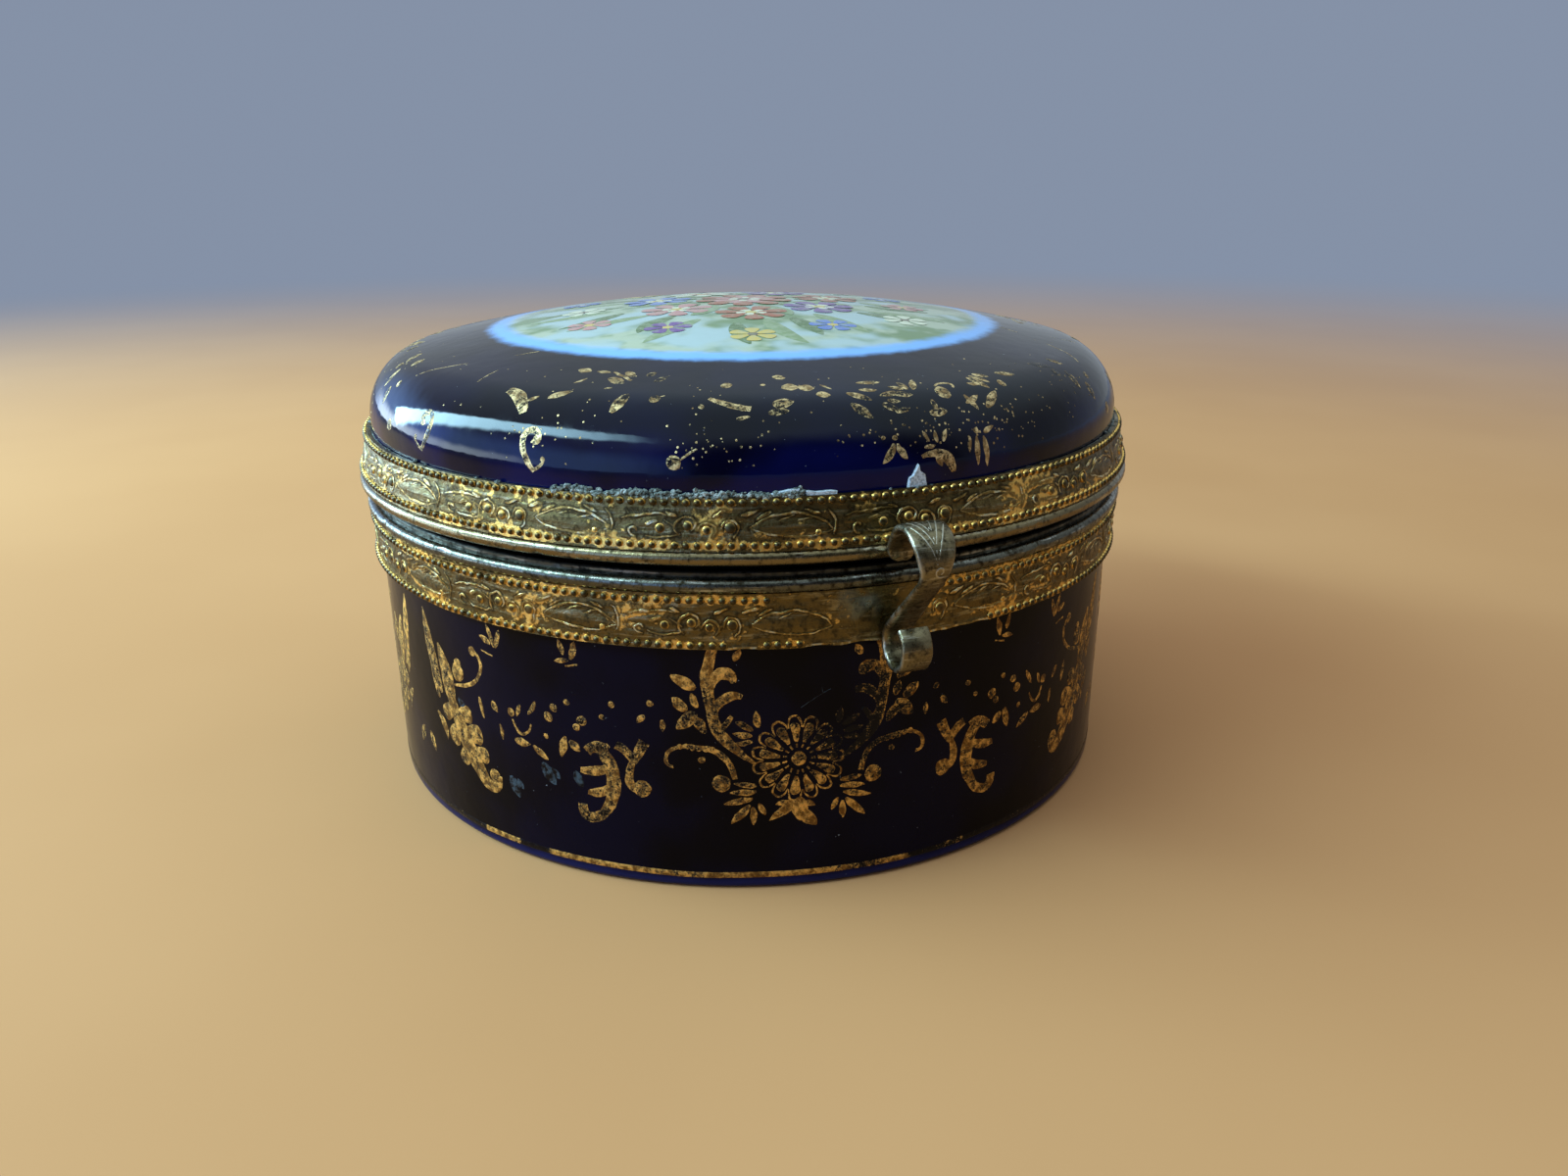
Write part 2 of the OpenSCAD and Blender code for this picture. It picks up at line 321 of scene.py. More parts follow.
def on_wall(s, z, out, radius=BODY_R):
    """A point round the box: s along from the clasp at the front, z up, out from the wall."""
    angle = s / BODY_R
    return Vector((math.sin(angle), -math.cos(angle), 0)) * (radius + out) + Vector((0, 0, z))


def lid_section(arc):
    """Radius, height and lean of the lid's outside at an arc length from its top."""
    if arc < CROWN_ARC:
        a = arc / CROWN_R
        return CROWN_R * math.sin(a), LID_TOP_Z - CROWN_R * (1 - math.cos(a)), a
    if arc < CROWN_ARC + SHOULDER_ARC:
        a = CROWN_TURN + (arc - CROWN_ARC) / SHOULDER_R
        return FLAT_R + SHOULDER_R * math.sin(a), SHOULDER_Z + SHOULDER_R * math.cos(a), a
    return LID_R, SHOULDER_Z - (arc - CROWN_ARC - SHOULDER_ARC), math.pi / 2


def on_lid(angle, arc, out):
    """A point on the lid's outside: angle round from the front, arc down from the top."""
    r, z, lean = lid_section(arc)
    r += out * math.sin(lean)
    return Vector((r * math.sin(angle), -r * math.cos(angle), z + out * math.cos(lean)))


def on_shoulder(s, h, out):
    """A point on the lid's shoulder ring: s along the wall's girth, h up from the wall."""
    return on_lid(s / LID_R, CROWN_ARC + SHOULDER_ARC - h, out)


def on_crown(x, y, out):
    """A point on the crown, drawn in plan from above."""
    return on_lid(math.atan2(x, -y), math.hypot(x, y), out)


def on_body_band(s, h, out):
    """A point on the lower band: h up from its lower edge."""
    return on_wall(s, BODY_BAND_LOW_Z + h, out, BODY_BAND_R)


def on_lid_band(s, h, out):
    """A point on the upper band, which leans in: h up from its lower edge."""
    radius = LID_BAND_LOW_R + (LID_BAND_HIGH_R - LID_BAND_LOW_R) * h / LID_BAND_H
    return on_wall(s, LID_BAND_LOW_Z + h, out, radius)


def wrapped(mesh, place, bm, layers):
    """Adds a flat drawing to a bmesh, laid on a surface; layers gives values by drawn point."""
    before = set(bm.verts)
    bm.from_mesh(mesh)
    bpy.data.meshes.remove(mesh)
    for v in [v for v in bm.verts if v not in before]:
        s, h, out = v.co
        for layer, value in layers:
            v[layer] = value(s, h, out)
        v.co = place(s, h, out) * MM


# Nodes of the materials

def rgb(r, g, b):
    return (r, g, b, 1.0)


def fill(tree, node, inputs):
    """Sets a node's inputs, each to a value or to another node's output."""
    for key, value in inputs.items():
        if isinstance(value, bpy.types.NodeSocket):
            tree.links.new(value, node.inputs[key])
        else:
            node.inputs[key].default_value = value
    return node


def put(tree, kind, inputs=None, **settings):
    made = tree.nodes.new("ShaderNode" + kind)
    for key, value in settings.items():
        setattr(made, key, value)
    return fill(tree, made, inputs or {})


def mixed(tree, factor, a, b):
    """Colour a where the factor is 0 and b where it is 1."""
    return put(tree, "Mix", {0: factor, 6: a, 7: b}, data_type="RGBA").outputs[2]


def sums(tree, operation, a, b):
    return put(tree, "Math", {0: a, 1: b}, operation=operation).outputs[0]


def plus(tree, a, b):
    return sums(tree, "ADD", a, b)


def less(tree, a, b):
    return sums(tree, "SUBTRACT", a, b)


def times(tree, a, b):
    return sums(tree, "MULTIPLY", a, b)


def opposite(tree, share):
    return less(tree, 1.0, share)


def ranged(tree, value, low, high, to_low=0.0, to_high=1.0):
    """A value eased from one range onto another."""
    made = put(tree, "MapRange", {0: value, 1: low, 2: high, 3: to_low, 4: to_high},
               interpolation_type="SMOOTHSTEP")
    return made.outputs[0]


def grain(tree, vector, scale, detail=3.0, rough=0.55):
    """Cloudy noise, scale grains to the unit of its vector."""
    made = put(tree, "TexNoise", {"Vector": vector, "Scale": scale, "Detail": detail, "Roughness": rough})
    return made.outputs[0]


def carried(tree, layer):
    """The value that a piece's mesh carries in a layer."""
    return put(tree, "Attribute", attribute_name=layer).outputs["Fac"]


def group(name, inputs, floats, vectors=()):
    """An empty node group: its float inputs with their values, and the names of its outputs."""
    tree = bpy.data.node_groups.new(name, "ShaderNodeTree")
    for label, value in inputs.items():
        made = tree.interface.new_socket(name=label, in_out="INPUT", socket_type="NodeSocketFloat")
        made.default_value = value
    for labels, kind in ((vectors, "NodeSocketVector"), (floats, "NodeSocketFloat")):
        for label in labels:
            tree.interface.new_socket(name=label, in_out="OUTPUT", socket_type=kind)
    return tree, tree.nodes.new("NodeGroupInput").outputs, tree.nodes.new("NodeGroupOutput")


def placed(tree, effect, inputs=None):
    """The outputs of a node group, put into a tree."""
    return put(tree, "Group", inputs, node_tree=effect).outputs


def surface(name):
    """A new material with its tree and its Principled shader."""
    material = bpy.data.materials.new(name)
    material.use_nodes = True
    tree = material.node_tree
    return material, tree, tree.nodes["Principled BSDF"]


def finish(tree, shader, colour, rough, metal=0.0, shine=0.5):
    fill(tree, shader, {
        "Base Color": colour, "Roughness": rough, "Metallic": metal, "Specular IOR Level": shine,
    })


def bumped(tree, shader, height, strength, distance):
    """Fine unevenness in the shading, its distance in millimetres."""
    made = put(tree, "Bump", {"Height": height, "Strength": strength, "Distance": distance * MM})
    fill(tree, shader, {"Normal": made.outputs[0]})


# Effects that several materials share

def box_places():
    """A point's place in millimetres, the same unrolled round the wall, its height and its radius."""
    tree, _, out = group("box places", {}, ("Height", "Radius"), ("Place", "Round"))
    spot = put(tree, "VectorMath", {0: put(tree, "TexCoord").outputs["Object"], 3: 1 / MM}, operation="SCALE")
    x, y, z = put(tree, "SeparateXYZ", {0: spot.outputs[0]}).outputs
    flat = put(tree, "CombineXYZ", {0: x, 1: y}).outputs[0]
    radius = put(tree, "VectorMath", {0: flat}, operation="LENGTH").outputs["Value"]
    along = times(tree, sums(tree, "ARCTAN2", x, times(tree, y, -1.0)), BODY_R)
    unrolled = put(tree, "CombineXYZ", {0: along, 1: z, 2: radius}).outputs[0]
    fill(tree, out, {"Place": spot.outputs[0], "Round": unrolled, "Height": z, "Radius": radius})
    return tree


def glaze_skin():
    """The thick glaze's own unevenness: slow waves, pin marks, fine rubbing and dust."""
    tree, _, out = group("glaze skin", {}, ("Depth", "Rough", "Specks", "Waves"))
    place = placed(tree, PLACES)["Place"]
    fill(tree, out, {
        "Depth": ranged(tree, grain(tree, place, 0.09, 2.0), 0.35, 0.65),
        "Rough": ranged(tree, grain(tree, place, 0.5, 6.0, 0.7), 0.4, 0.75, 0.045, 0.16),
        "Specks": ranged(tree, grain(tree, place, 2.4, 4.0), 0.735, 0.76),
        "Waves": grain(tree, place, 0.28, 2.0),
    })
    return tree


def gold_wear():
    """Gilding that has rubbed through in speckles: where it is bare, and its tone where it stays."""
    tree, into, out = group("gold wear", {"Wear": 0.4}, ("Bare", "Tone", "Thin"))
    place = placed(tree, PLACES)["Place"]
    coarse = grain(tree, place, 1.5, 5.0, 0.68)
    fine = grain(tree, place, 6.0, 2.0)
    speckle = plus(tree, times(tree, coarse, 0.75), times(tree, fine, 0.25))
    left = less(tree, speckle, ranged(tree, into["Wear"], 0.0, 1.0, 0.32, 0.64))
    fill(tree, out, {
        "Bare": ranged(tree, left, 0.015, -0.015),
        "Tone": ranged(tree, grain(tree, place, 1.3, 5.0, 0.7), 0.4, 0.62),
        "Thin": ranged(tree, left, 0.13, 0.0),
    })
    return tree


def brass_age():
    """Old gilt brass: dull olive where it is rubbed, gold kept low down, dark grime in mottles."""
    tree, into, out = group("brass age", {"Low": 0.5, "Gilt": 0.5, "Grime": 0.5},
                            ("Gold", "Dark", "Pale", "Rough", "Bumps"))
    places = placed(tree, PLACES)
    patches = grain(tree, places["Place"], 0.3, 4.0, 0.6)
    mottles = grain(tree, places["Place"], 1.5, 4.0, 0.65)
    streaks = put(tree, "VectorMath", {0: places["Round"], 1: (0.22, 2.4, 2.4)}, operation="MULTIPLY")
    rubs = grain(tree, streaks.outputs[0], 1.0, 4.0, 0.6)
    kept = plus(tree, times(tree, into["Low"], 0.34), times(tree, patches, 0.9))
    kept = plus(tree, kept, times(tree, mottles, 0.75))
    need = ranged(tree, into["Gilt"], 0.0, 1.0, 1.28, 0.78)
    clean = ranged(tree, into["Grime"], 0.0, 1.0, 0.75, 0.35)
    fill(tree, out, {
        "Gold": ranged(tree, less(tree, kept, need), -0.03, 0.07),
        "Dark": ranged(tree, less(tree, mottles, clean), -0.1, 0.14),
        "Pale": ranged(tree, rubs, 0.53, 0.7),
        "Rough": ranged(tree, mottles, 0.3, 0.7, 0.24, 0.5),
        "Bumps": plus(tree, mottles, times(tree, rubs, 0.6)),
    })
    return tree


PLACES = box_places()
SKIN = glaze_skin()
GOLD_WEAR = gold_wear()
BRASS_AGE = brass_age()


# Glazes and paint

COBALT_DEEP, COBALT_BLUE = rgb(0.0016, 0.0012, 0.0026), rgb(0.0022, 0.002, 0.009)
COBALT_THIN = rgb(0.01, 0.012, 0.06)
CROWN_DEEP, CROWN_BLUE = rgb(0.0012, 0.0012, 0.004), rgb(0.0014, 0.002, 0.012)
SHOULDER_DEEP, SHOULDER_BLUE = rgb(0.001, 0.001, 0.009), rgb(0.0014, 0.0028, 0.042)
DUST = rgb(0.32, 0.33, 0.34)
HALO_BLUE = rgb(0.24, 0.48, 0.88)
WASH_GREEN = rgb(0.2, 0.27, 0.12)
WASH_STRAW = rgb(0.5, 0.51, 0.34)
WASH_BLUE = rgb(0.47, 0.54, 0.5)
WHITE_WARM, WHITE_COOL = rgb(0.78, 0.76, 0.7), rgb(0.7, 0.69, 0.66)
BROWN_STAIN = rgb(0.5, 0.43, 0.32)
BISCUIT, FOOT_DIRT = rgb(0.62, 0.58, 0.52), rgb(0.3, 0.26, 0.21)

POT_SHINE = 0.11
LID_SHINE = 0.24
THIN_FROM_Z, THIN_BELOW_Z = 2.1, 1.0
CROWN_FROM_Z, SHOULDER_BELOW_Z = SHOULDER_Z + 4.8, SHOULDER_Z + 2.0
PAINT_FROM_Z, PAINT_ABOVE_Z = SHOULDER_Z + 4.0, SHOULDER_Z + 4.5
MEDALLION_R, MEDALLION_FADE = 27.8, 1.8
HALO_R, HALO_FADE = 29.9, 1.6
HALO_WANDER = 1.2
SKY_SHIFT = (7.0, 3.0, 0.0)


def cobalt_glaze():
    """The pot's glaze, almost black where it lies thick and bluer where it runs thin at the foot."""
    material, tree, shader = surface("cobalt glaze")
    skin, places = placed(tree, SKIN), placed(tree, PLACES)
    colour = mixed(tree, skin["Depth"], COBALT_DEEP, COBALT_BLUE)
    wavy = plus(tree, places["Height"], times(tree, skin["Waves"], 0.8))
    colour = mixed(tree, ranged(tree, wavy, THIN_FROM_Z, THIN_BELOW_Z), colour, COBALT_THIN)
    colour = mixed(tree, times(tree, skin["Specks"], 0.5), colour, DUST)
    finish(tree, shader, colour, skin["Rough"], shine=POT_SHINE)
    bumped(tree, shader, skin["Waves"], 0.12, 0.5)
    return material


def lid_glaze():
    """The lid's bluer glaze, with a washed-in medallion and its pale halo on the crown."""
    material, tree, shader = surface("lid glaze")
    skin, places = placed(tree, SKIN), placed(tree, PLACES)
    place, height = places["Place"], places["Height"]
    crown = mixed(tree, skin["Depth"], CROWN_DEEP, CROWN_BLUE)
    shoulder = mixed(tree, skin["Depth"], SHOULDER_DEEP, SHOULDER_BLUE)
    colour = mixed(tree, ranged(tree, height, CROWN_FROM_Z, SHOULDER_BELOW_Z), crown, shoulder)
    wander = times(tree, less(tree, grain(tree, place, 0.5, 3.0), 0.5), HALO_WANDER)
    edge = plus(tree, places["Radius"], wander)
    on_top = ranged(tree, height, PAINT_FROM_Z, PAINT_ABOVE_Z)
    halo = times(tree, ranged(tree, edge, HALO_R, HALO_R - HALO_FADE), on_top)
    colour = mixed(tree, halo, colour, HALO_BLUE)
    meadow = ranged(tree, grain(tree, place, 0.16, 3.0, 0.6), 0.42, 0.6)
    wash = mixed(tree, meadow, WASH_GREEN, WASH_STRAW)
    shifted = put(tree, "VectorMath", {0: place, 1: SKY_SHIFT}).outputs[0]
    wash = mixed(tree, ranged(tree, grain(tree, shifted, 0.12, 2.0), 0.45, 0.6), wash, WASH_BLUE)
    inside = times(tree, ranged(tree, edge, MEDALLION_R, MEDALLION_R - MEDALLION_FADE), on_top)
    colour = mixed(tree, inside, colour, wash)
    colour = mixed(tree, times(tree, skin["Specks"], 0.7), colour, DUST)
    finish(tree, shader, colour, skin["Rough"], shine=LID_SHINE)
    bumped(tree, shader, skin["Waves"], 0.1, 0.5)
    return material


def white_glaze():
    """The white inside, with a few brown stains."""
    material, tree, shader = surface("white glaze")
    skin, place = placed(tree, SKIN), placed(tree, PLACES)["Place"]
    colour = mixed(tree, skin["Depth"], WHITE_WARM, WHITE_COOL)
    stain = ranged(tree, grain(tree, place, 0.12, 5.0, 0.65), 0.55, 0.8, 0.0, 0.5)
    finish(tree, shader, mixed(tree, stain, colour, BROWN_STAIN), skin["Rough"])
    bumped(tree, shader, skin["Waves"], 0.1, 0.4)
    return material


def bare_foot():
    """Unglazed porcelain where the pot stands."""
    material, tree, shader = surface("bare foot")
    place = placed(tree, PLACES)["Place"]
    dirt = ranged(tree, grain(tree, place, 0.8, 5.0, 0.7), 0.45, 0.7)
    finish(tree, shader, mixed(tree, dirt, BISCUIT, FOOT_DIRT), rough=0.75)
    bumped(tree, shader, grain(tree, place, 3.0, 4.0), 0.4, 0.1)
    return material


def flower_paint():
    """Overglaze colours, each stroke with its own, slightly thin and uneven."""
    material, tree, shader = surface("flower paint")
    paint = put(tree, "Attribute", attribute_name="paint").outputs["Color"]
    place = placed(tree, PLACES)["Place"]
    thin = ranged(tree, grain(tree, place, 1.2, 4.0, 0.6), 0.4, 0.7, 0.0, 0.45)
    finish(tree, shader, mixed(tree, thin, paint, WASH_STRAW), rough=0.16)
    bumped(tree, shader, grain(tree, place, 2.0, 3.0), 0.15, 0.06)
    return material


# Gilding, brass and plaster

POT_GOLD, POT_GOLD_BROWN = rgb(0.95, 0.54, 0.13), rgb(0.22, 0.1, 0.022)
LID_GOLD, LID_GOLD_BROWN = rgb(0.95, 0.7, 0.34), rgb(0.34, 0.2, 0.08)
GOLD_RUBBED = rgb(0.1, 0.07, 0.035)
GHOST_GREY = rgb(0.045, 0.066, 0.08)
GHOST_WEAR = 2.0
# Grime in mottles on the brass, and also painted shade at the feet of the bands' raised lines
GRIME_AND_SHADE = rgb(0.035, 0.026, 0.013)
# Painted shade for the gap between the rims
GROOVE_PAINTED_SHADE = rgb(0.006, 0.005, 0.003)
BAND_GOLD = rgb(0.98, 0.6, 0.15)
BAND_WORN = rgb(0.175, 0.125, 0.045)
BAND_PALE = rgb(0.8, 0.72, 0.44)
BEAD_DARK = rgb(0.075, 0.055, 0.026)
SOLDER_GREY, SOLDER_DARK = rgb(0.2, 0.22, 0.18), rgb(0.09, 0.095, 0.075)
PLASTER_DARK, PLASTER_GREY = rgb(0.05, 0.058, 0.048), rgb(0.25, 0.275, 0.23)
PLASTER_WHITE = rgb(0.46, 0.48, 0.43)
CHIP_PITS, CHIP_WHITE = rgb(0.32, 0.36, 0.38), rgb(0.72, 0.78, 0.82)

BAND_LAYERS = ("relief", "hollow", "gilt", "solder")
GROOVE_SHADE_REACH = 0.35
SEAT_FROM, SEAT_INSIDE = 0.8, 1.6


def worn_gilding(name, bright, brown):
    """Fired gilding, rubbed through as each stroke's wear says; past that only a grey ghost is left."""
    material, tree, shader = surface(name)
    wear = carried(tree, "wear")
    worn = placed(tree, GOLD_WEAR, {"Wear": wear})
    gold = mixed(tree, worn["Tone"], brown, bright)
    gold = mixed(tree, worn["Thin"], gold, GOLD_RUBBED)
    ghost = ranged(tree, wear, 1.2, 1.6)
    colour = mixed(tree, worn["Bare"], gold, COBALT_DEEP)
    colour = mixed(tree, ghost, colour, mixed(tree, worn["Tone"], COBALT_DEEP, GHOST_GREY))
    kept = times(tree, opposite(tree, worn["Bare"]), opposite(tree, ghost))
    rough = ranged(tree, kept, 0.0, 1.0, 0.12, 0.56)
    finish(tree, shader, colour, rough, metal=times(tree, kept, 0.9), shine=0.2)
    bumped(tree, shader, worn["Tone"], 0.4, 0.06)
    return material


def aged_brass(name, gilt, grime, gold, worn, pale, groove_r=None, rubbed_and_highlit_edges=False):
    """A plain brass of the mounts: gold where gilding stays, dull where it is worn, pale on rubbed streaks.
    A rim ring has a black band of painted shade in its groove and is paler on the seat inside it."""
    material, tree, shader = surface(name)
    age = placed(tree, BRASS_AGE, {"Low": 0.4, "Gilt": gilt, "Grime": grime})
    colour = mixed(tree, age["Pale"], worn, pale)
    colour = mixed(tree, age["Dark"], colour, GRIME_AND_SHADE)
    colour = mixed(tree, age["Gold"], colour, gold)
    rough = age["Rough"]
    if groove_r:
        radius = placed(tree, PLACES)["Radius"]
        seat = ranged(tree, radius, groove_r - SEAT_FROM, groove_r - SEAT_INSIDE)
        colour = mixed(tree, times(tree, seat, 0.7), colour, pale)
        # Painted shade: from the groove's radius inwards the ring turns black, standing in for the shadow in
        # the gap between the rims
        groove_shade = times(tree, ranged(tree, radius, groove_r, groove_r - GROOVE_SHADE_REACH), opposite(tree, seat))
        colour = mixed(tree, groove_shade, colour, GROOVE_PAINTED_SHADE)
        rough = plus(tree, times(tree, rough, 0.75), times(tree, groove_shade, 0.4))
    # Rubbed wear and painted highlight: pale where the relief layer marks edges and veins
    if rubbed_and_highlit_edges:
        edge = carried(tree, "relief")
        colour = mixed(tree, ranged(tree, edge, 0.35, 0.9, 0.0, 0.8), colour, pale)
    finish(tree, shader, colour, rough, metal=1.0)
    bumped(tree, shader, age["Bumps"], 0.5, 0.08)
    return material


def stamped_brass():
    """The bands' strip and scrolls: pale on the ridges, from rubbing and painted highlight, black at their
    feet, from grime and painted shade, gold kept in patches.
    """
    material, tree, shader = surface("stamped brass")
    ridge, hollow, gilt, solder = (carried(tree, name) for name in BAND_LAYERS)
    age = placed(tree, BRASS_AGE, {"Low": gilt, "Gilt": 0.5, "Grime": 0.5})
    colour = mixed(tree, times(tree, age["Pale"], 0.3), BAND_WORN, BAND_PALE)
    colour = mixed(tree, times(tree, age["Dark"], 0.8), colour, GRIME_AND_SHADE)
    colour = mixed(tree, age["Gold"], colour, BAND_GOLD)
    # Grime and painted shade at the feet of the raised lines
    colour = mixed(tree, ranged(tree, hollow, 0.55, 0.95, 0.0, 0.75), colour, GRIME_AND_SHADE)
    # Rubbed wear and painted highlight: the ridge tops go pale or gold
    rubbed = grain(tree, placed(tree, PLACES)["Place"], 0.9, 3.0, 0.6)
    bright = mixed(tree, ranged(tree, rubbed, 0.48, 0.62), BAND_GOLD, BAND_PALE)
    bright = mixed(tree, ranged(tree, rubbed, 0.56, 0.44, 0.0, 0.85), bright, BAND_WORN)
    colour = mixed(tree, ranged(tree, ridge, 0.3, 0.8, 0.0, 0.9), colour, bright)
    colour = mixed(tree, solder, colour, mixed(tree, age["Dark"], SOLDER_GREY, SOLDER_DARK))
    finish(tree, shader, colour, age["Rough"], metal=1.0)
    bumped(tree, shader, age["Bumps"], 0.8, 0.12)
    return material


def bead_brass():
    """The beads and bosses: dark on top, with gold kept round their feet."""
    material, tree, shader = surface("bead brass")
    top = carried(tree, "relief")
    age = placed(tree, BRASS_AGE, {"Low": opposite(tree, top), "Gilt": 0.6, "Grime": 0.55})
    colour = mixed(tree, age["Gold"], BAND_WORN, BAND_GOLD)
    colour = mixed(tree, ranged(tree, top, 0.3, 0.7, 0.0, 0.9), colour, BEAD_DARK)
    finish(tree, shader, colour, age["Rough"], metal=1.0)
    bumped(tree, shader, age["Bumps"], 0.3, 0.05)
    return material


def bedding_plaster():
    """Dry plaster that has crumbled, grey green with white broken edges."""
    material, tree, shader = surface("bedding plaster")
    place = placed(tree, PLACES)["Place"]
    crumbs = grain(tree, place, 3.4, 5.0, 0.7)
    colour = mixed(tree, ranged(tree, crumbs, 0.35, 0.62), PLASTER_DARK, PLASTER_GREY)
    white = ranged(tree, grain(tree, place, 1.3, 4.0, 0.7), 0.5, 0.62)
    finish(tree, shader, mixed(tree, white, colour, PLASTER_WHITE), rough=0.9)
    bumped(tree, shader, crumbs, 0.9, 0.25)
    return material


def broken_plaster():
    """A fresh chip of plaster, bluish white with a few grey pits."""
    material, tree, shader = surface("broken plaster")
    pits = grain(tree, placed(tree, PLACES)["Place"], 4.5, 4.0, 0.7)
    colour = mixed(tree, ranged(tree, pits, 0.35, 0.6), CHIP_PITS, CHIP_WHITE)
    finish(tree, shader, colour, rough=0.85)
    bumped(tree, shader, pits, 0.7, 0.15)
    return material


COBALT = cobalt_glaze()
LID_GLAZE = lid_glaze()
WHITE_GLAZE = white_glaze()
BARE_FOOT = bare_foot()
POT_GILDING = worn_gilding("pot gilding", POT_GOLD, POT_GOLD_BROWN)
LID_GILDING = worn_gilding("lid gilding", LID_GOLD, LID_GOLD_BROWN)
STAMPED_BRASS = stamped_brass()
BEAD_BRASS = bead_brass()
ROLLED_BRASS = aged_brass(
    "rolled brass", gilt=0.25, grime=0.45, gold=rgb(0.66, 0.43, 0.14), worn=rgb(0.26, 0.2, 0.1),
    pale=rgb(0.55, 0.5, 0.38), groove_r=BODY_R + 0.35)
GREY_BRASS = aged_brass(
    "grey brass", gilt=0.1, grime=0.5, gold=rgb(0.6, 0.42, 0.16), worn=rgb(0.15, 0.145, 0.11),
    pale=rgb(0.6, 0.6, 0.52), groove_r=BODY_R + 0.3)
HINGE_BRASS = aged_brass(
    "hinge brass", gilt=0.35, grime=0.45, gold=rgb(0.66, 0.46, 0.16), worn=rgb(0.3, 0.23, 0.1),
    pale=rgb(0.5, 0.45, 0.3))
CLASP_BRASS = aged_brass(
    "clasp brass", gilt=0.22, grime=0.5, gold=rgb(0.8, 0.5, 0.15), worn=rgb(0.24, 0.195, 0.105),
    pale=rgb(0.6, 0.55, 0.42), rubbed_and_highlit_edges=True)
PLASTER = bedding_plaster()
BROKEN_PLASTER = broken_plaster()
PAINT = flower_paint()


# The porcelain

FOOT_FACE_Z = 0.05
WHITE_INSIDE = 1.2
LID_EDGE_H = 3


def porcelain_body():
    inner_r = BODY_R - BODY_WALL
    edge_r = BODY_R - BASE_EDGE_R
    foot_r = edge_r - FOOT_W
    floor_z = FOOT_RECESS + FLOOR_T
    outline = [(0, FOOT_RECESS), (foot_r - FOOT_SLOPE, FOOT_RECESS), (foot_r, 0), (edge_r, 0)]
    outline += bend((edge_r, BASE_EDGE_R), BASE_EDGE_R, -90, 0)
    outline += [(BODY_R, BODY_H * k / 6) for k in range(1, 7)] + [(inner_r, BODY_H)]
    outline += bend((inner_r - FLOOR_FILLET, floor_z + FLOOR_FILLET), FLOOR_FILLET, 0, -90)
    outline += [(0, floor_z)]
    bm = lathe(outline)
    for face in bm.faces:
        c = face.calc_center_median() / MM
        if c.z < FOOT_FACE_Z:
            face.material_index = 2
        elif math.hypot(c.x, c.y) < BODY_R - WHITE_INSIDE:
            face.material_index = 1
    glazes = [COBALT, WHITE_GLAZE, BARE_FOOT]
    piece("porcelain_pot", bm, glazes, "base", ["porcelain_body"])


def porcelain_lid():
    inner_r = LID_R - LID_WALL
    rise = 90 - math.degrees(CROWN_TURN)
    crown = (0, LID_TOP_Z - CROWN_R)
    shoulder = (FLAT_R, SHOULDER_Z)
    outline = [(inner_r, LID_LOW_Z), (LID_R, LID_LOW_Z), (LID_R, LID_LOW_Z + LID_EDGE_H)]
    outline += bend(shoulder, SHOULDER_R, 0, rise, 14)
    outline += bend(crown, CROWN_R, rise, 90, 24)[1:]
    outline += bend(crown, CROWN_R - LID_WALL, 90, rise, 16)
    outline += bend(shoulder, SHOULDER_R - LID_WALL, rise, 0, 10)[1:]
    outline += [(inner_r, LID_LOW_Z)]
    bm = lathe(outline)
    middle = Vector((0, 0, LID_LOW_Z * MM))
    for face in bm.faces:
        if face.normal.dot(face.calc_center_median() - middle) < 0:
            face.material_index = 1
    piece("porcelain_dome", bm, [LID_GLAZE, WHITE_GLAZE], "lid", ["porcelain_lid"])


# Gilding on the pot, drawn for one panel from its daisy outwards

PANELS = 3
PANEL_W = math.tau * BODY_R / PANELS
DAISY_S = -8.7
DAISY_Z = 14.0
DAISY_PETALS = 15


def daisy(centre):
    """The daisy: a button, a ring of ticks, its petals and a thin line round each."""
    strokes = [dot(centre, 0.68)]
    pitch = math.tau / DAISY_PETALS
    side, shoulder = 0.46 * pitch, 0.36 * pitch
    for k in range(DAISY_PETALS):
        a = k * pitch
        strokes.append(even(ring_points(centre, (1.15, a), (1.55, a)), 0.3))
        strokes.append(petal(*ring_points(centre, (1.8, a), (3.75, a)), 0.88))
        outline = ((3.3, a - side), (4.3, a - shoulder), (4.5, a), (4.3, a + shoulder), (3.3, a + side))
        strokes.append(even(ring_points(centre, *outline), 0.2))
    return strokes


def daisy_leaves():
    """Leaf sprays round the left of the daisy, a low fan and a high one."""
    return leaves(
        (-4.0, 11.3, -6.1, 11.6, 0.65), (-4.0, 10.7, -6.5, 10.6, 0.7), (-4.3, 10.0, -7.1, 9.4, 0.75),
        (-4.6, 9.3, -6.5, 7.3, 0.85), (-4.3, 9.1, -4.3, 7.2, 0.75), (-3.8, 9.4, -3.2, 8.2, 0.6),
        (-3.8, 17.4, -4.0, 19.1, 0.75), (-4.2, 17.1, -5.9, 18.1, 0.75), (-4.3, 16.5, -6.2, 16.8, 0.7),
        (-4.3, 15.9, -6.1, 15.7, 0.65))


def tendril():
    """The thin stem that swings out beside the daisy, with a row of beads along it."""
    sweep = [(-6.0, 12.1), (-6.3, 13.6), (-7.2, 14.8), (-8.7, 15.3), (-10.4, 15.5), (-11.9, 15.2),
             (-12.7, 14.2), (-12.4, 13.1), (-11.8, 13.2)]
    beads = [dot((-8.0 - 0.62 * k, 15.1 + 0.06 * k), 0.28) for k in range(6)]
    return [(sweep, [0.5, 0.5, 0.6, 0.45, 0.4, 0.35, 0.35, 0.35, 0.3])] + dots(
        (-7.3, 11.6, 0.85), (-9.1, 14.0, 0.3)) + beads


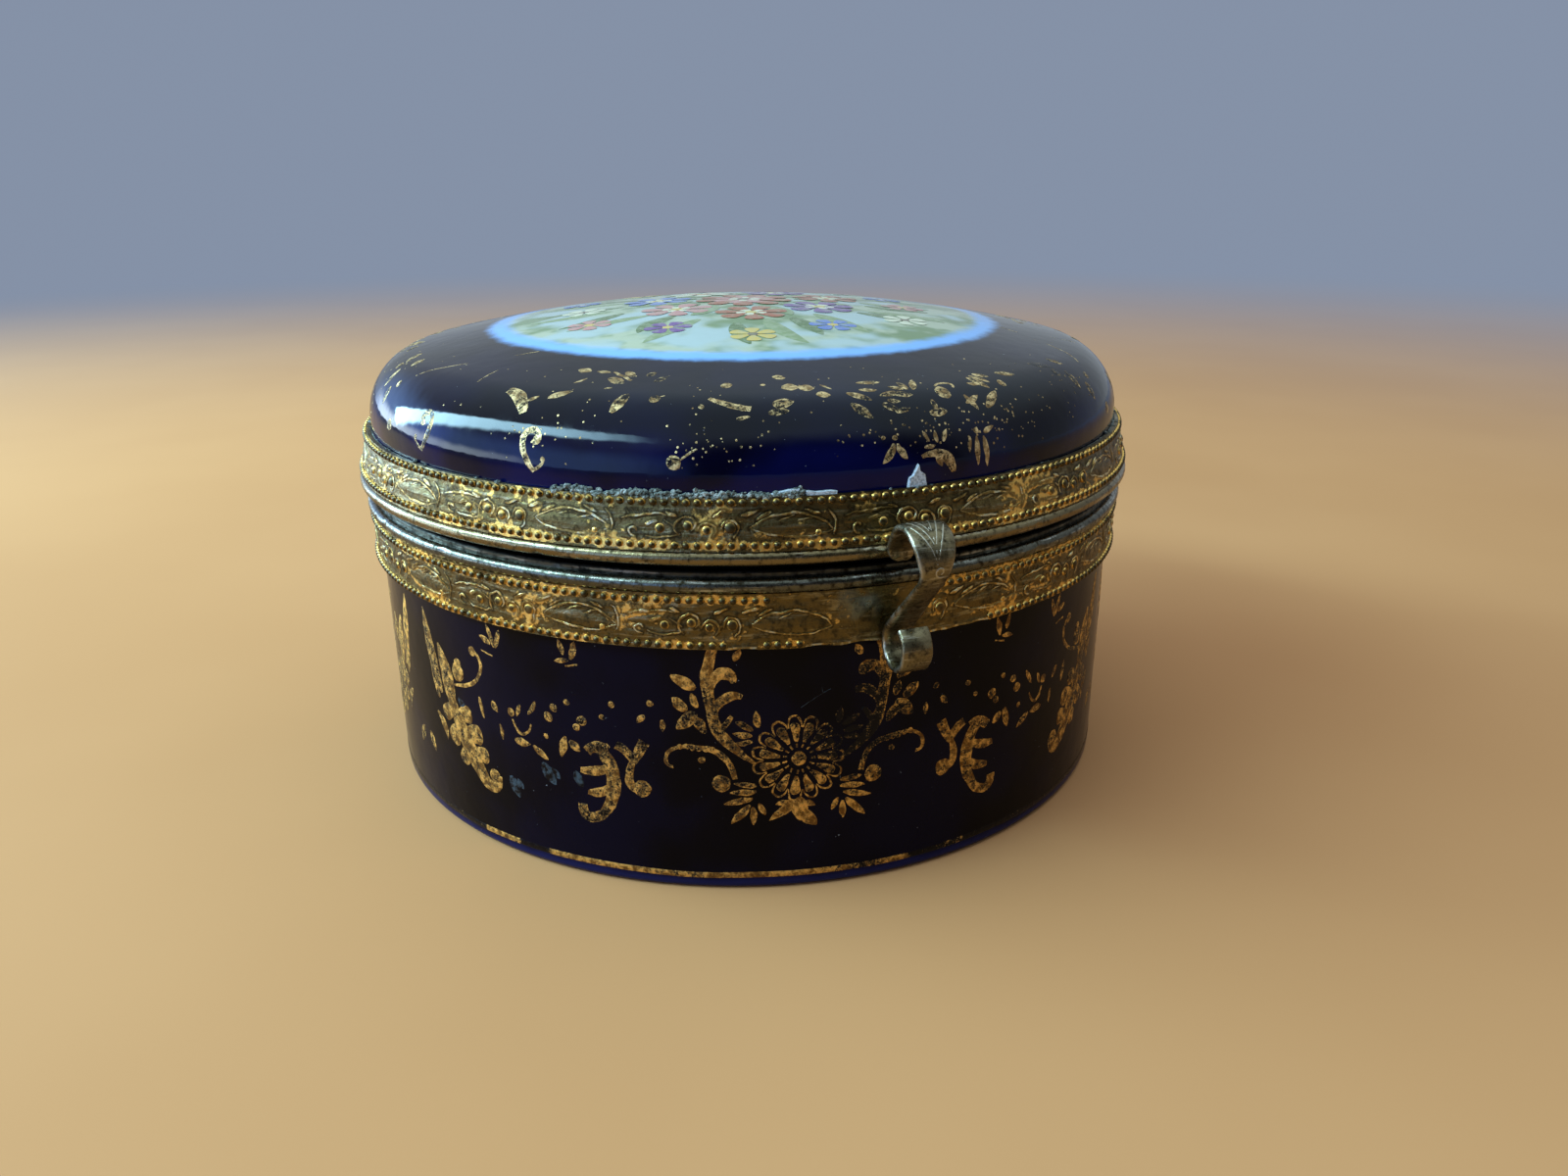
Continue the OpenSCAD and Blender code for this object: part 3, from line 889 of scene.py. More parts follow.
def rising_acanthus():
    """The stem that climbs from the daisy to the band, with its lobes and leaves."""
    stem = [(-4.0, 13.6), (-6.0, 15.1), (-7.3, 16.6), (-7.9, 18.1), (-8.1, 19.6), (-8.3, 21.1), (-8.5, 22.6),
            (-8.2, 23.9), (-7.8, 25.3)]
    lobes = [lobe([(-8.2, 21.0), (-7.8, 22.6), (-7.0, 23.1), (-6.1, 22.8), (-5.9, 22.0)], 1.5),
             lobe([(-7.8, 19.0), (-7.1, 20.5), (-6.2, 20.9), (-5.3, 20.5)], 1.4),
             lobe([(-7.6, 16.8), (-6.9, 17.5), (-6.2, 18.6)], 1.0)]
    return [(stem, [0.3, 0.9, 1.3, 1.1, 1.0, 1.2, 1.2, 1.0, 0.9])] + lobes + leaves(
        (-9.4, 19.4, -9.8, 20.9, 0.8), (-10.3, 19.0, -11.7, 20.4, 1.15), (-9.5, 18.9, -11.3, 17.2, 1.5),
        (-9.7, 18.5, -8.6, 16.8, 1.05), (-9.5, 21.3, -11.7, 22.6, 1.25), (-5.9, 24.1, -5.3, 25.2, 0.8))


def c_scrolls():
    """A small and a large acanthus scroll side by side."""
    small = [even([(-17.3, 15.0), (-16.3, 14.5), (-15.6, 13.5)], 1.0, 0.9),
             ([(-15.7, 13.3), (-15.1, 14.4), (-14.5, 15.6)], [0.7, 1.1, 1.1]),
             even([(-15.6, 13.7), (-16.2, 12.4), (-16.3, 11.3), (-15.9, 10.5), (-15.1, 10.3)], 0.85),
             dot((-14.9, 10.6), 0.85)]
    spine = [(-19.4, 14.7), (-18.2, 13.5), (-17.8, 11.9), (-17.7, 10.3), (-18.1, 8.6), (-19.0, 7.4)]
    hook = [(-18.3, 8.2), (-19.0, 7.2), (-20.1, 6.4), (-21.4, 6.7), (-21.3, 8.0)]
    large = [([(-20.4, 13.8), (-19.3, 14.9), (-18.2, 14.2)], [1.0, 1.3, 1.2]),
             (spine, [1.0, 1.4, 1.5, 1.4, 1.2, 0.9]),
             (hook, [0.8, 1.0, 1.0, 1.1, 1.0]),
             lobe([(-17.9, 12.6), (-18.8, 12.1), (-19.8, 11.6), (-21.2, 11.7)], 1.5),
             lobe([(-17.9, 10.5), (-18.6, 9.9), (-19.4, 9.4), (-20.6, 9.4)], 1.5)]
    return small + large


def garland():
    """Loose leaves and dots between the scrolls and the tall acanthus."""
    hook = even([(-28.9, 15.5), (-28.7, 14.5), (-27.9, 13.8), (-27.1, 14.3), (-26.6, 15.4)], 0.32)
    return leaves(
        (-22.7, 15.0, -23.3, 12.7, 0.95), (-22.2, 14.7, -21.2, 13.6, 0.9), (-28.9, 13.2, -26.9, 13.2, 0.85),
        (-26.6, 13.2, -24.9, 12.1, 0.8), (-31.7, 16.8, -30.9, 15.7, 0.75), (-33.5, 16.7, -33.0, 14.5, 0.6),
        (-30.7, 14.5, -30.5, 12.9, 0.45), (-12.7, 18.0, -12.7, 16.8, 0.6), (-14.4, 18.3, -15.1, 17.5, 0.7),
        (-25.9, 18.0, -26.9, 16.4, 0.6), (-27.9, 17.2, -28.4, 15.9, 0.5)) + [hook] + dots(
        (-20.8, 17.0, 0.5), (-21.4, 16.2, 0.36), (-23.8, 17.8, 0.42), (-24.5, 16.7, 0.48),
        (-29.1, 16.2, 0.42), (-22.3, 18.6, 0.3), (-13.8, 19.6, 0.32), (-17.6, 19.0, 0.3),
        (-18.6, 17.6, 0.26), (-24.9, 14.6, 0.26))


def tall_acanthus():
    """The tall lobed leaf between two panels, with its berries and the thin stem that curls from it."""
    spine = [(-38.7, 16.2), (-37.9, 13.8), (-36.9, 12.0), (-35.9, 10.2), (-34.9, 8.8), (-34.0, 7.5),
             (-32.8, 6.7), (-31.6, 7.2), (-31.7, 8.4)]
    lobes = [petal((-37.9, 13.4), (-35.0, 14.3), 1.9), petal((-37.0, 11.7), (-33.6, 12.4), 2.2),
             petal((-35.9, 10.0), (-32.9, 10.2), 1.8), petal((-37.9, 14.8), (-40.0, 12.6), 1.8),
             petal((-37.1, 12.8), (-38.9, 10.1), 2.1), petal((-35.9, 10.8), (-37.2, 8.2), 1.8)]
    curl = [(-38.4, 16.8), (-35.7, 17.2), (-33.8, 18.0), (-32.6, 19.8), (-32.8, 21.2), (-33.9, 21.7)]
    return leaves(
        (-40.2, 15.2, -42.5, 24.0, 1.9, 0.04), (-38.2, 14.0, -39.9, 20.8, 2.4, -0.05),
        (-40.8, 14.4, -41.7, 19.2, 1.0, 0.06), (-41.6, 12.6, -40.0, 9.8, 1.0, 0.2),
        (-44.2, 9.4, -43.2, 7.2, 1.1)) + lobes + [
        (spine, [1.0, 1.7, 2.2, 2.4, 2.1, 1.7, 1.4, 1.2, 1.0]), even(curl, 0.42)] + dots(
        (-32.2, 8.3, 0.75), (-36.7, 18.5, 0.95), (-36.5, 19.5, 0.55), (-33.9, 21.5, 0.5))


def hanging_sprigs():
    """Small sprigs just under the band."""
    fleur = leaves((-30.6, 22.7, -31.4, 25.0, 0.6), (-30.4, 22.7, -29.8, 24.7, 0.65),
                   (-31.1, 23.0, -32.5, 23.6, 0.7))
    fleur.append(even([(-32.4, 22.0), (-30.9, 21.8)], 0.3))
    pair = leaves((-21.5, 23.1, -21.0, 25.0, 0.75), (-22.3, 23.5, -22.7, 25.1, 0.6),
                  (-21.8, 23.0, -23.3, 22.7, 0.5))
    pair.append(even([(-22.1, 22.4), (-20.8, 22.7)], 0.26))
    return fleur + pair


def low_spray():
    """The broad leaves that hang below the daisy."""
    return leaves((0.0, 9.6, -2.8, 7.6, 0.95), (-0.6, 9.5, -2.2, 9.3, 0.7), (0.0, 9.9, 0.2, 7.4, 1.7),
                  (0.1, 8.4, 1.7, 6.8, 1.4), (0.5, 9.4, 1.6, 8.9, 0.6))


def lost_leaves():
    """Leaves whose gold is gone, seen as grey shadows on the glaze."""
    return leaves(
        (-25.6, 11.6, -24.2, 9.4, 1.5), (-24.6, 11.2, -23.6, 10.2, 0.8), (-21.9, 11.4, -21.2, 9.8, 1.1),
        (-29.9, 9.0, -28.9, 6.8, 1.3), (-29.0, 8.9, -28.3, 7.9, 0.7), (-37.0, 15.6, -35.8, 14.2, 0.9))


def scratch():
    """A scratch in the glaze above the daisy."""
    return [even([(0.2, 19.2), (1.4, 20.1), (3.0, 20.9)], 0.1), even([(2.3, 20.6), (2.2, 21.2)], 0.08)]


# The thumb has rubbed the gilding above and to the right of the daisy, under the clasp
RUB_SPOT = (-4.0, 17.2)
RUB_REACH = 4.3
FADED_S = -58.0
FADED_REACH = 4.5
STROKE_TOP = 0.016
MIDDLE_WEAR, EDGE_KEPT = 0.16, 0.06
POT_WEAR, RUB_WEAR, FADED_WEAR, PATCH_WEAR = 0.3, 0.42, 0.4, 0.3
GILT_RISE = 0.06
GHOST_RISE = 0.03
STROKE_FINENESS = 4
GILT_SHAKE = 0.09
GHOST_SHAKE = 0.05


def edge_wear(out):
    """Strokes are thickest along their edges and rub through first in the middle."""
    return MIDDLE_WEAR * clamped(out / STROKE_TOP) - EDGE_KEPT


def pot_wear(s, z, out):
    rub = bell(math.hypot(s - RUB_SPOT[0], z - RUB_SPOT[1]), RUB_REACH)
    faded = bell(s - FADED_S, FADED_REACH)
    patch = noise.noise(Vector((s * 0.11, z * 0.16, 3.7)))
    return POT_WEAR + RUB_WEAR * rub + FADED_WEAR * faded + PATCH_WEAR * patch + edge_wear(out)


def ghost_wear(s, z, out):
    return GHOST_WEAR


def pot_gilding():
    half = (daisy_leaves() + tendril() + rising_acanthus() + c_scrolls() + garland() + tall_acanthus()
            + hanging_sprigs())
    panel = daisy((0, DAISY_Z)) + low_spray() + half + mirrored(half)
    strokes, ghosts = [], moved(scratch(), DAISY_S, 0)
    for k in range(PANELS):
        strokes += moved(panel, DAISY_S + k * PANEL_W, 0)
        ghosts += moved(lost_leaves(), DAISY_S + k * PANEL_W, 0)
    bm = bmesh.new()
    wear = bm.verts.layers.float.new("wear")
    wrapped(drawn(strokes, GILT_RISE, STROKE_FINENESS, shake=GILT_SHAKE), on_wall, bm, [(wear, pot_wear)])
    wrapped(drawn(ghosts, GHOST_RISE, STROKE_FINENESS, shake=GHOST_SHAKE), on_wall, bm, [(wear, ghost_wear)])
    piece("pot_gilding", bm, [POT_GILDING], "base", sharp=60)


# The gold line round the foot, with the stretches in degrees from the front where it is gone or thin
GOLD_LINE_Z = 1.6
GOLD_LINE_W = 0.62
GOLD_LINE_T = 0.03
GOLD_LINE_STEPS = 360
GOLD_LINE_SWAY = 0.12
LINE_GONE = ((-120.0, -57.5), (-50.5, -46.0), (3.5, 8.5), (12.5, 60.0), (100.0, 112.0))
LINE_THIN = ((-9.0, 3.5), (8.5, 12.5), (60.0, 100.0), (140.0, 165.0))
GONE_WEAR, THIN_WEAR, KEPT_WEAR = 0.9, 0.45, 0.1


def foot_line():
    """The gold line round the foot, worn away in places."""
    outer_r = BODY_R + GOLD_LINE_T
    bm = lathe([
        (BODY_R, GOLD_LINE_Z - GOLD_LINE_W / 2), (outer_r, GOLD_LINE_Z - GOLD_LINE_W / 3),
        (outer_r, GOLD_LINE_Z + GOLD_LINE_W / 3), (BODY_R, GOLD_LINE_Z + GOLD_LINE_W / 2),
    ], GOLD_LINE_STEPS)
    wear = bm.verts.layers.float.new("wear")
    for v in bm.verts:
        angle = front_angle(v.co)
        along = math.radians(angle) * BODY_R
        rubbed = THIN_WEAR if within(angle, LINE_THIN) else KEPT_WEAR
        if within(angle, LINE_GONE):
            rubbed = GONE_WEAR
        v[wear] = rubbed + 0.35 * noise.noise(Vector((along * 0.3, 0.4, 8.1)))
        v.co.z += GOLD_LINE_SWAY * MM * noise.noise(Vector((along * 0.12, 2.2, 0.0)))
    piece("foot_gold_line", bm, [POT_GILDING], "base", sharp=80)


# Gilding on the lid's shoulder, drawn with the wall's girth along and the shoulder upwards

LID_PANELS = 3
LID_PANEL_W = math.tau * LID_R / LID_PANELS
LID_PANEL_S = math.radians(6) * LID_R


def shoulder_scroll():
    spine = [(0.4, 0.2), (-0.5, 1.2), (-1.3, 2.8), (-1.4, 4.3), (-0.6, 5.1), (0.5, 4.9), (1.0, 4.0),
             (0.5, 3.3), (-0.1, 3.7)]
    return [(spine, [0.5, 0.75, 0.85, 0.85, 0.8, 0.85, 0.8, 0.7, 0.4]), dot((0.6, 3.9), 0.5),
            even([(0.3, 0.3), (1.2, 0.7), (1.8, 1.5)], 0.5), dot((1.7, 1.7), 0.3)]


def tailed_dot():
    return [dot((0, 0.6), 0.62), even([(0.4, 0.8), (1.2, 1.1), (2.0, 1.8)], 0.26)]


def leaf_arch():
    return leaves((-0.2, 2.6, -1.6, 0.6, 0.9, 0.15), (0.3, 2.6, 1.4, 0.8, 0.9, -0.15)) + dots(
        (-1.3, 3.3, 0.26), (0.1, 3.2, 0.3))


def brown_spray():
    ticks = leaves((-0.9, 3.0, -1.5, 4.3, 0.55), (0.1, 2.8, 0.1, 4.2, 0.6), (0.9, 2.9, 1.6, 4.2, 0.7))
    swell = ([(-2.0, 1.4), (-0.6, 1.9), (0.8, 1.5), (1.8, 0.6), (2.2, -0.7)], [0.4, 0.8, 1.3, 1.5, 0.5])
    return ticks + [swell] + leaves((-0.2, 1.6, 0.6, 0.1, 0.9), (-1.6, 2.4, -0.2, 2.5, 0.5))


def hanging_fleur():
    return leaves((-0.5, 2.8, -0.6, -0.2, 0.75), (0.5, 2.8, 0.8, -0.5, 0.75), (-1.4, 2.9, -1.6, 1.2, 0.6),
                  (0.7, 3.2, 2.2, 3.7, 0.6)) + [dot((-0.4, 3.4), 0.35)]


def crown_garland():
    """What is left of a garland round the shoulder: leaves, part flowers and bits of stem, for one panel."""
    left = leaves(
        (-37.6, 7.5, -35.5, 8.8, 1.0), (-36.5, 10.5, -35.7, 11.8, 0.45), (-38.4, 13.8, -36.5, 13.5, 1.2),
        (-35.7, 13.7, -33.8, 13.5, 0.7), (-33.2, 12.2, -30.8, 11.2, 1.4), (-31.9, 13.9, -30.4, 12.8, 1.1),
        (-32.5, 9.8, -31.5, 10.0, 0.45), (-30.2, 6.2, -29.3, 8.9, 1.4), (-29.0, 13.1, -28.2, 14.1, 1.0),
        (-27.6, 11.7, -26.5, 13.2, 0.9), (-18.3, 5.8, -17.1, 6.0, 0.4), (-39.7, 6.9, -38.7, 7.6, 0.5))
    middle = leaves(
        (-14.3, 13.1, -12.9, 12.7, 1.1), (-13.7, 10.6, -11.8, 10.4, 1.7), (-11.9, 10.4, -10.3, 10.0, 1.5),
        (-14.9, 7.4, -12.9, 7.7, 1.4), (-15.4, 6.4, -13.5, 6.6, 0.9), (-10.4, 8.8, -9.0, 8.5, 1.1),
        (-9.5, 10.8, -8.6, 9.6, 0.4), (-7.3, 8.7, -5.1, 7.4, 0.9), (-5.4, 10.7, -2.8, 10.5, 0.8),
        (-5.8, 9.2, -3.9, 8.8, 0.7), (-7.4, 7.1, -5.7, 5.3, 1.0))
    flower = leaves(
        (-1.7, 8.3, -4.1, 7.9, 0.8), (-1.1, 8.6, -2.5, 9.4, 0.8), (-0.7, 8.5, -0.9, 10.2, 0.8),
        (-0.1, 8.4, 1.0, 10.4, 0.8), (-2.8, 8.3, -0.6, 7.6, 0.9), (-4.3, 6.9, -2.8, 5.8, 0.9),
        (-3.2, 5.7, -1.7, 6.1, 0.6), (-3.6, 7.2, -2.3, 7.0, 0.6), (1.0, 6.8, 1.1, 5.7, 0.7),
        (0.2, 5.4, 2.2, 5.3, 1.0)) + [even([(2.6, 8.6), (3.6, 9.3), (5.3, 9.0), (4.6, 8.0)], 0.35)]
    right = leaves(
        (7.7, 9.5, 8.9, 7.3, 1.0), (9.2, 10.1, 10.5, 8.9, 0.9), (6.8, 8.4, 8.1, 8.0, 0.6),
        (8.4, 9.8, 9.7, 8.1, 0.8), (12.3, 9.6, 14.4, 8.5, 1.0), (5.1, 6.9, 5.7, 5.1, 0.7),
        (4.7, 5.9, 6.7, 6.6, 0.6), (6.9, 5.2, 9.3, 6.8, 1.0), (19.7, 10.0, 22.0, 8.1, 1.1),
        (24.2, 9.6, 25.1, 8.0, 1.1), (23.4, 7.1, 23.4, 4.6, 1.0), (25.7, 5.1, 25.9, 3.1, 1.1))
    stems = [([(-43.0, 8.0), (-41.1, 7.7), (-40.2, 6.8), (-39.4, 5.5)], [0.8, 1.5, 1.6, 0.8]),
             even([(-33.5, 13.7), (-31.8, 12.9), (-30.3, 11.9)], 0.5),
             even([(-26.0, 8.5), (-25.5, 8.8)], 0.25),
             ([(-21.0, 8.4), (-19.5, 7.5), (-18.3, 7.1), (-17.0, 6.9)], [0.4, 0.75, 0.75, 0.6]),
             even([(-48.4, 8.5), (-48.8, 10.0), (-49.0, 11.5)], 0.22),
             even([(33.6, 11.6), (31.4, 9.3), (29.4, 7.3)], 0.25),
             even([(-51.9, 15.2), (-50.8, 16.4), (-49.9, 17.2)], 0.3)]
    return left + middle + flower + right + stems + dots(
        (-26.4, 8.2, 0.52), (-19.5, 11.1, 0.6), (-21.7, 7.2, 0.3), (2.9, 7.6, 0.8), (11.1, 7.7, 0.45),
        (21.4, 7.3, 0.5), (27.4, 5.7, 0.4), (29.6, 1.5, 0.6), (-15.6, 11.2, 0.25))


# Drifts of gold specks: place along and up, spread along and up, and count
GOLD_DRIFTS = (
    (-37.5, 3.6, 3.0, 0.9, 26), (-20.5, 3.4, 2.6, 0.9, 34), (0.0, 3.8, 5.5, 0.9, 70),
    (9.0, 3.6, 3.5, 1.0, 34), (18.0, 5.5, 4.5, 2.0, 24), (-28.0, 9.0, 9.0, 3.0, 24),
    (0.0, 8.0, 26.0, 4.0, 60),
)
LID_WEAR, LID_PATCH_WEAR = 0.34, 0.36
SPECK_LOW_H = 1.2
SPECK_R = (0.05, 0.12)


def gold_dust(draw):
    """Specks that the rubbed gilding has left, in drifts under the garland."""
    return [dot((draw.gauss(s, wide), max(SPECK_LOW_H, draw.gauss(h, tall))), draw.uniform(*SPECK_R))
            for s, h, wide, tall, count in GOLD_DRIFTS for _ in range(count)]


def lid_wear(s, h, out):
    patch = noise.noise(Vector((s * 0.1, h * 0.2, 5.5)))
    return LID_WEAR + LID_PATCH_WEAR * patch + edge_wear(out)


def lid_gilding():
    """The garland, its specks and, below it, single motifs at their places along and up in their sizes."""
    motifs = ((-37.4, 0.1, 0.78, shoulder_scroll()), (-23.8, 1.2, 1.0, tailed_dot()),
              (-4.1, 0.7, 0.82, leaf_arch()), (0, 0.3, 0.8, brown_spray()), (4.9, 0.2, 0.85, hanging_fleur()),
              (37.4, 0.1, 0.78, mirrored(shoulder_scroll())))
    panel = crown_garland()
    for s, h, size, motif in motifs:
        panel += moved(motif, s, h, size)
    draw = random.Random(21)
    strokes, dust = [], []
    for k in range(LID_PANELS):
        strokes += moved(panel, LID_PANEL_S + k * LID_PANEL_W, 0)
        dust += moved(gold_dust(draw), LID_PANEL_S + k * LID_PANEL_W, 0)
    bm = bmesh.new()
    wear = bm.verts.layers.float.new("wear")
    wrapped(drawn(strokes, GILT_RISE, STROKE_FINENESS, shake=GILT_SHAKE), on_shoulder, bm, [(wear, lid_wear)])
    wrapped(drawn(dust, GILT_RISE, fineness=1, sides=0), on_shoulder, bm, [(wear, lid_wear)])
    piece("lid_gilding", bm, [LID_GILDING], "lid", sharp=60)


# The painted medallion: a round posy of meadow flowers

PAINT_COLOURS = {
    "rust": rgb(0.42, 0.1, 0.035), "rose": rgb(0.62, 0.25, 0.22), "purple": rgb(0.17, 0.06, 0.25),
    "blue": rgb(0.12, 0.2, 0.5), "cream": rgb(0.82, 0.76, 0.52), "yellow": rgb(0.72, 0.48, 0.1),
    "leaf": rgb(0.1, 0.17, 0.05), "sage": rgb(0.24, 0.31, 0.13), "umber": rgb(0.13, 0.08, 0.04),
}
PAINT_RISE = 0.02
PAINT_LIFT = 0.06
OUTER_LEAVES, INNER_LEAVES = 26, 14
SMALL_COLOURS = ("blue", "cream", "rose", "purple", "yellow")
SMALL_BLOSSOMS, SMALL_R, SMALL_RING, SMALL_STAGGER = 13, 2.5, 18.5, 2.2
LARGE_COLOURS = ("rust", "purple", "cream", "blue", "rose", "rust", "purple")
LARGE_R, LARGE_RING = 4.0, 10.2
MIDDLE_BLOSSOM = (("rust", 5.6, 9, 0.2), ("rose", 3.8, 7, 0.5), ("cream", 2.1, 6, 0.1))
MIDDLE = (0, 0)


def blossom(centre, radius, petals, turn):
    """A ring of round petals about a centre."""
    turns = [turn + k * math.tau / petals for k in range(petals)]
    width = radius * 3.6 / petals
    return [petal(*ring_points(centre, (radius * 0.22, a), (radius, a)), width) for a in turns]


def posy():
    """Strokes of the posy by colour, painted from the back to the front."""
    draw = random.Random(7)
    layers = []
    for k in range(OUTER_LEAVES):
        a = k * math.tau / OUTER_LEAVES + draw.uniform(-0.08, 0.08)
        base, tip = ring_points(
            MIDDLE, (draw.uniform(13, 16), a), (draw.uniform(21, 25), a + draw.uniform(-0.1, 0.1)))
        layers.append(("sage" if k % 2 else "leaf", [leaf(base, tip, 2.2, draw.uniform(-0.12, 0.12))]))
    for k in range(INNER_LEAVES):
        a = (k + 0.5) * math.tau / INNER_LEAVES
        base, tip = ring_points(MIDDLE, (6.0, a), (12.5, a + 0.12))
        layers.append(("leaf" if k % 2 else "sage", [leaf(base, tip, 2.4, 0.1)]))
    for k in range(SMALL_BLOSSOMS):
        a = k * math.tau / SMALL_BLOSSOMS + 0.1
        centre = ring_points(MIDDLE, (SMALL_RING + SMALL_STAGGER * (k % 2), a))[0]
        colour = SMALL_COLOURS[k % len(SMALL_COLOURS)]
        layers.append((colour, blossom(centre, SMALL_R, 6, a)))
        layers.append(("umber" if colour in ("cream", "yellow") else "yellow", [dot(centre, 0.6)]))
    for k, colour in enumerate(LARGE_COLOURS):
        a = k * math.tau / len(LARGE_COLOURS)
        centre = ring_points(MIDDLE, (LARGE_RING, a))[0]
        layers.append((colour, blossom(centre, LARGE_R, 7, a)))
        layers.append(("cream" if colour != "cream" else "rust", blossom(centre, 1.7, 5, -a)))
        layers.append(("yellow", [dot(centre, 0.7)]))
    for colour, *shape in MIDDLE_BLOSSOM:
        layers.append((colour, blossom(MIDDLE, *shape)))
    return layers + [("umber", [dot(MIDDLE, 0.9)])]


def medallion():
    bm = bmesh.new()
    paint = bm.verts.layers.float_color.new("paint")
    layers = posy()
    for k, (colour, strokes) in enumerate(layers):
        mesh = drawn(strokes, PAINT_RISE)
        for v in mesh.vertices:
            v.co.z += PAINT_LIFT * k / len(layers)
        wrapped(mesh, on_crown, bm, [(paint, lambda s, h, out, tone=PAINT_COLOURS[colour]: tone)])
    piece("lid_medallion_paint", bm, [PAINT], "lid", sharp=60)


# The brass rims

RIM_STEPS = 900
RIM_DENT = 0.06
RIM_NICKS = 0.45


def rim_outline(seat_z, up, bed_r, rim_r, bead_r):
    """Half section of a mount's ring, up or down from its seat."""
    bead = (rim_r - bead_r, GROOVE_HALF + bead_r)
    section = [(SEAT_IN_R, 0), (bed_r - SEAT_EDGE, 0), (bed_r, SEAT_EDGE), (bed_r, GROOVE_HALF)]
    section += bend(bead, bead_r, -90, 90, 12)
    section += [(bed_r, GROOVE_HALF + 2 * bead_r), (bed_r, SEAT_T), (SEAT_IN_R, SEAT_T)]
    return [(r, seat_z + up * z) for r, z in section]


def dented(bm, depth, key, nicks=0.0):
    """Slow hand dents in a thin brass ring, and small nicks where it was knocked; key picks their places."""
    for v in bm.verts:
        spot = v.co / MM
        outward = Vector((spot.x, spot.y, 0)).normalized()
        slow = depth * noise.noise(Vector((spot.x * 0.09, spot.y * 0.09, spot.z * 0.3 + key)))
        knock = max(0.0, noise.noise(Vector((spot.x * 0.6, spot.y * 0.6, spot.z * 0.7 + key))) - 0.4)
        v.co += outward * (slow - knock * nicks) * MM


def rims():
    body = ribbon(rim_outline(BODY_SEAT_Z, -1, BODY_R + BED_SIDE, BODY_RIM_R, BODY_RIM_BEAD_R), RIM_STEPS)
    dented(body, RIM_DENT, 2.0, RIM_NICKS)
    piece("lower_rim", body, [GREY_BRASS], "base", ["body_rim_ring"])
    lid = ribbon(rim_outline(LID_SEAT_Z, 1, LID_R + BED_SIDE, LID_RIM_R, LID_RIM_BEAD_R), RIM_STEPS)
    dented(lid, RIM_DENT, 9.0, RIM_NICKS)
    piece("upper_rim", lid, [ROLLED_BRASS], "lid", ["lid_rim_ring"])


# The stamped scroll, one repeat, along the band and up from its middle

def scroll_lines():
    """Thin raised lines and small leaves."""
    lines = [spiral((1.1, -0.1), 0.6, 1.3, -60, 235, 9), spiral((2.7, -0.5), 0.62, 0.95, 190, -50),
             spiral((4.7, -0.25), 0.72, 0.8, -40, 200), [(5.3, -0.5), (5.3, -1.0), (4.9, -1.45)],
             [(6.3, -0.3), (7.6, 0.75), (9.6, 1.2), (11.6, 0.9), (13.0, 0.1), (13.6, -0.7)],
             [(6.3, -0.3), (7.8, -1.0), (9.8, -1.35), (12.0, -1.35), (13.6, -0.7)],
             [(13.1, 1.35), (13.9, 0.6), (14.0, -0.4), (13.5, -1.2)], [(7.4, -0.2), (9.4, 0.25), (11.6, 0.0)],
             [(9.0, -0.7), (10.6, -0.65), (11.8, -0.8)], spiral((15.7, -0.7), 0.25, 0.62, 0, 300),
             [(8.6, 0.15), (9.2, 0.6), (10.2, 0.85)], [(10.2, 0.1), (10.9, 0.45), (11.7, 0.55)],
             [(8.2, -0.4), (9.4, -0.3), (10.4, -0.3)],
             [(14.6, 0.5), (15.6, 0.95), (16.8, 0.75), (17.8, 1.15), (19.0, 0.9)],
             [(16.3, -0.9), (17.6, -1.4), (18.8, -1.25), (19.7, -0.9)],
             [(18.4, 0.4), (19.2, 0.1), (19.6, -0.4)]]
    combs = [[(15.2 + 0.5 * k, 0.95), (15.0 + 0.5 * k, 1.35)] for k in range(5)]
    return [even(line, 0.27) for line in lines] + [even(comb, 0.2) for comb in combs] + leaves(
        (5.6, 0.9, 7.3, 1.45, 0.42), (3.1, 0.8, 4.5, 1.35, 0.42), (16.6, 0.0, 17.9, 0.35, 0.5),
        (8.3, 1.25, 6.9, 0.5, 0.36), (12.4, 0.9, 11.0, 1.5, 0.4), (0.2, 0.9, -0.9, 1.3, 0.42))


def scroll_leaves():
    """Broad leaf bodies in low relief."""
    return leaves(
        (6.2, -0.3, 13.7, -0.65, 2.0, 0.02), (14.6, -0.1, 19.0, 0.4, 1.1), (3.6, 1.0, 6.2, 0.6, 0.8),
        (13.9, -1.2, 17.0, -1.3, 0.8), (-0.8, -0.9, 2.0, -1.3, 0.7))


def scroll_bosses():
    return dots((1.1, -0.1, 0.42), (2.7, -0.5, 0.4), (4.7, -0.25, 0.5), (18.0, -0.35, 0.42),
                (12.2, -0.9, 0.28))


# The stamped bands

BEADS_PER_ROW = 280
BEADS_PER_GROUP = 14
BEAD_R = 0.36
BEAD_SUNK = 0.3
SCROLL_REPEATS = 14
STRIP_ROWS = 30
STRIP_STEPS = 1400
STRIP_DENT = 0.05
STAMP_SHAKE = 0.14
LINE_RISE, LEAF_RISE, BOSS_RISE = 0.9, 0.14, 0.55
LINE_FULL, LEAF_FULL, BOSS_FULL = 0.12, 0.4, 0.3
LEAF_MOST = 0.35
RIDGE_REACH = 0.3
RIDGE_LIFT = 0.05
GILT_REACH = 0.7
BEAD_GILT_REACH = 0.5
LOST_BEAD_GILT = 0.3

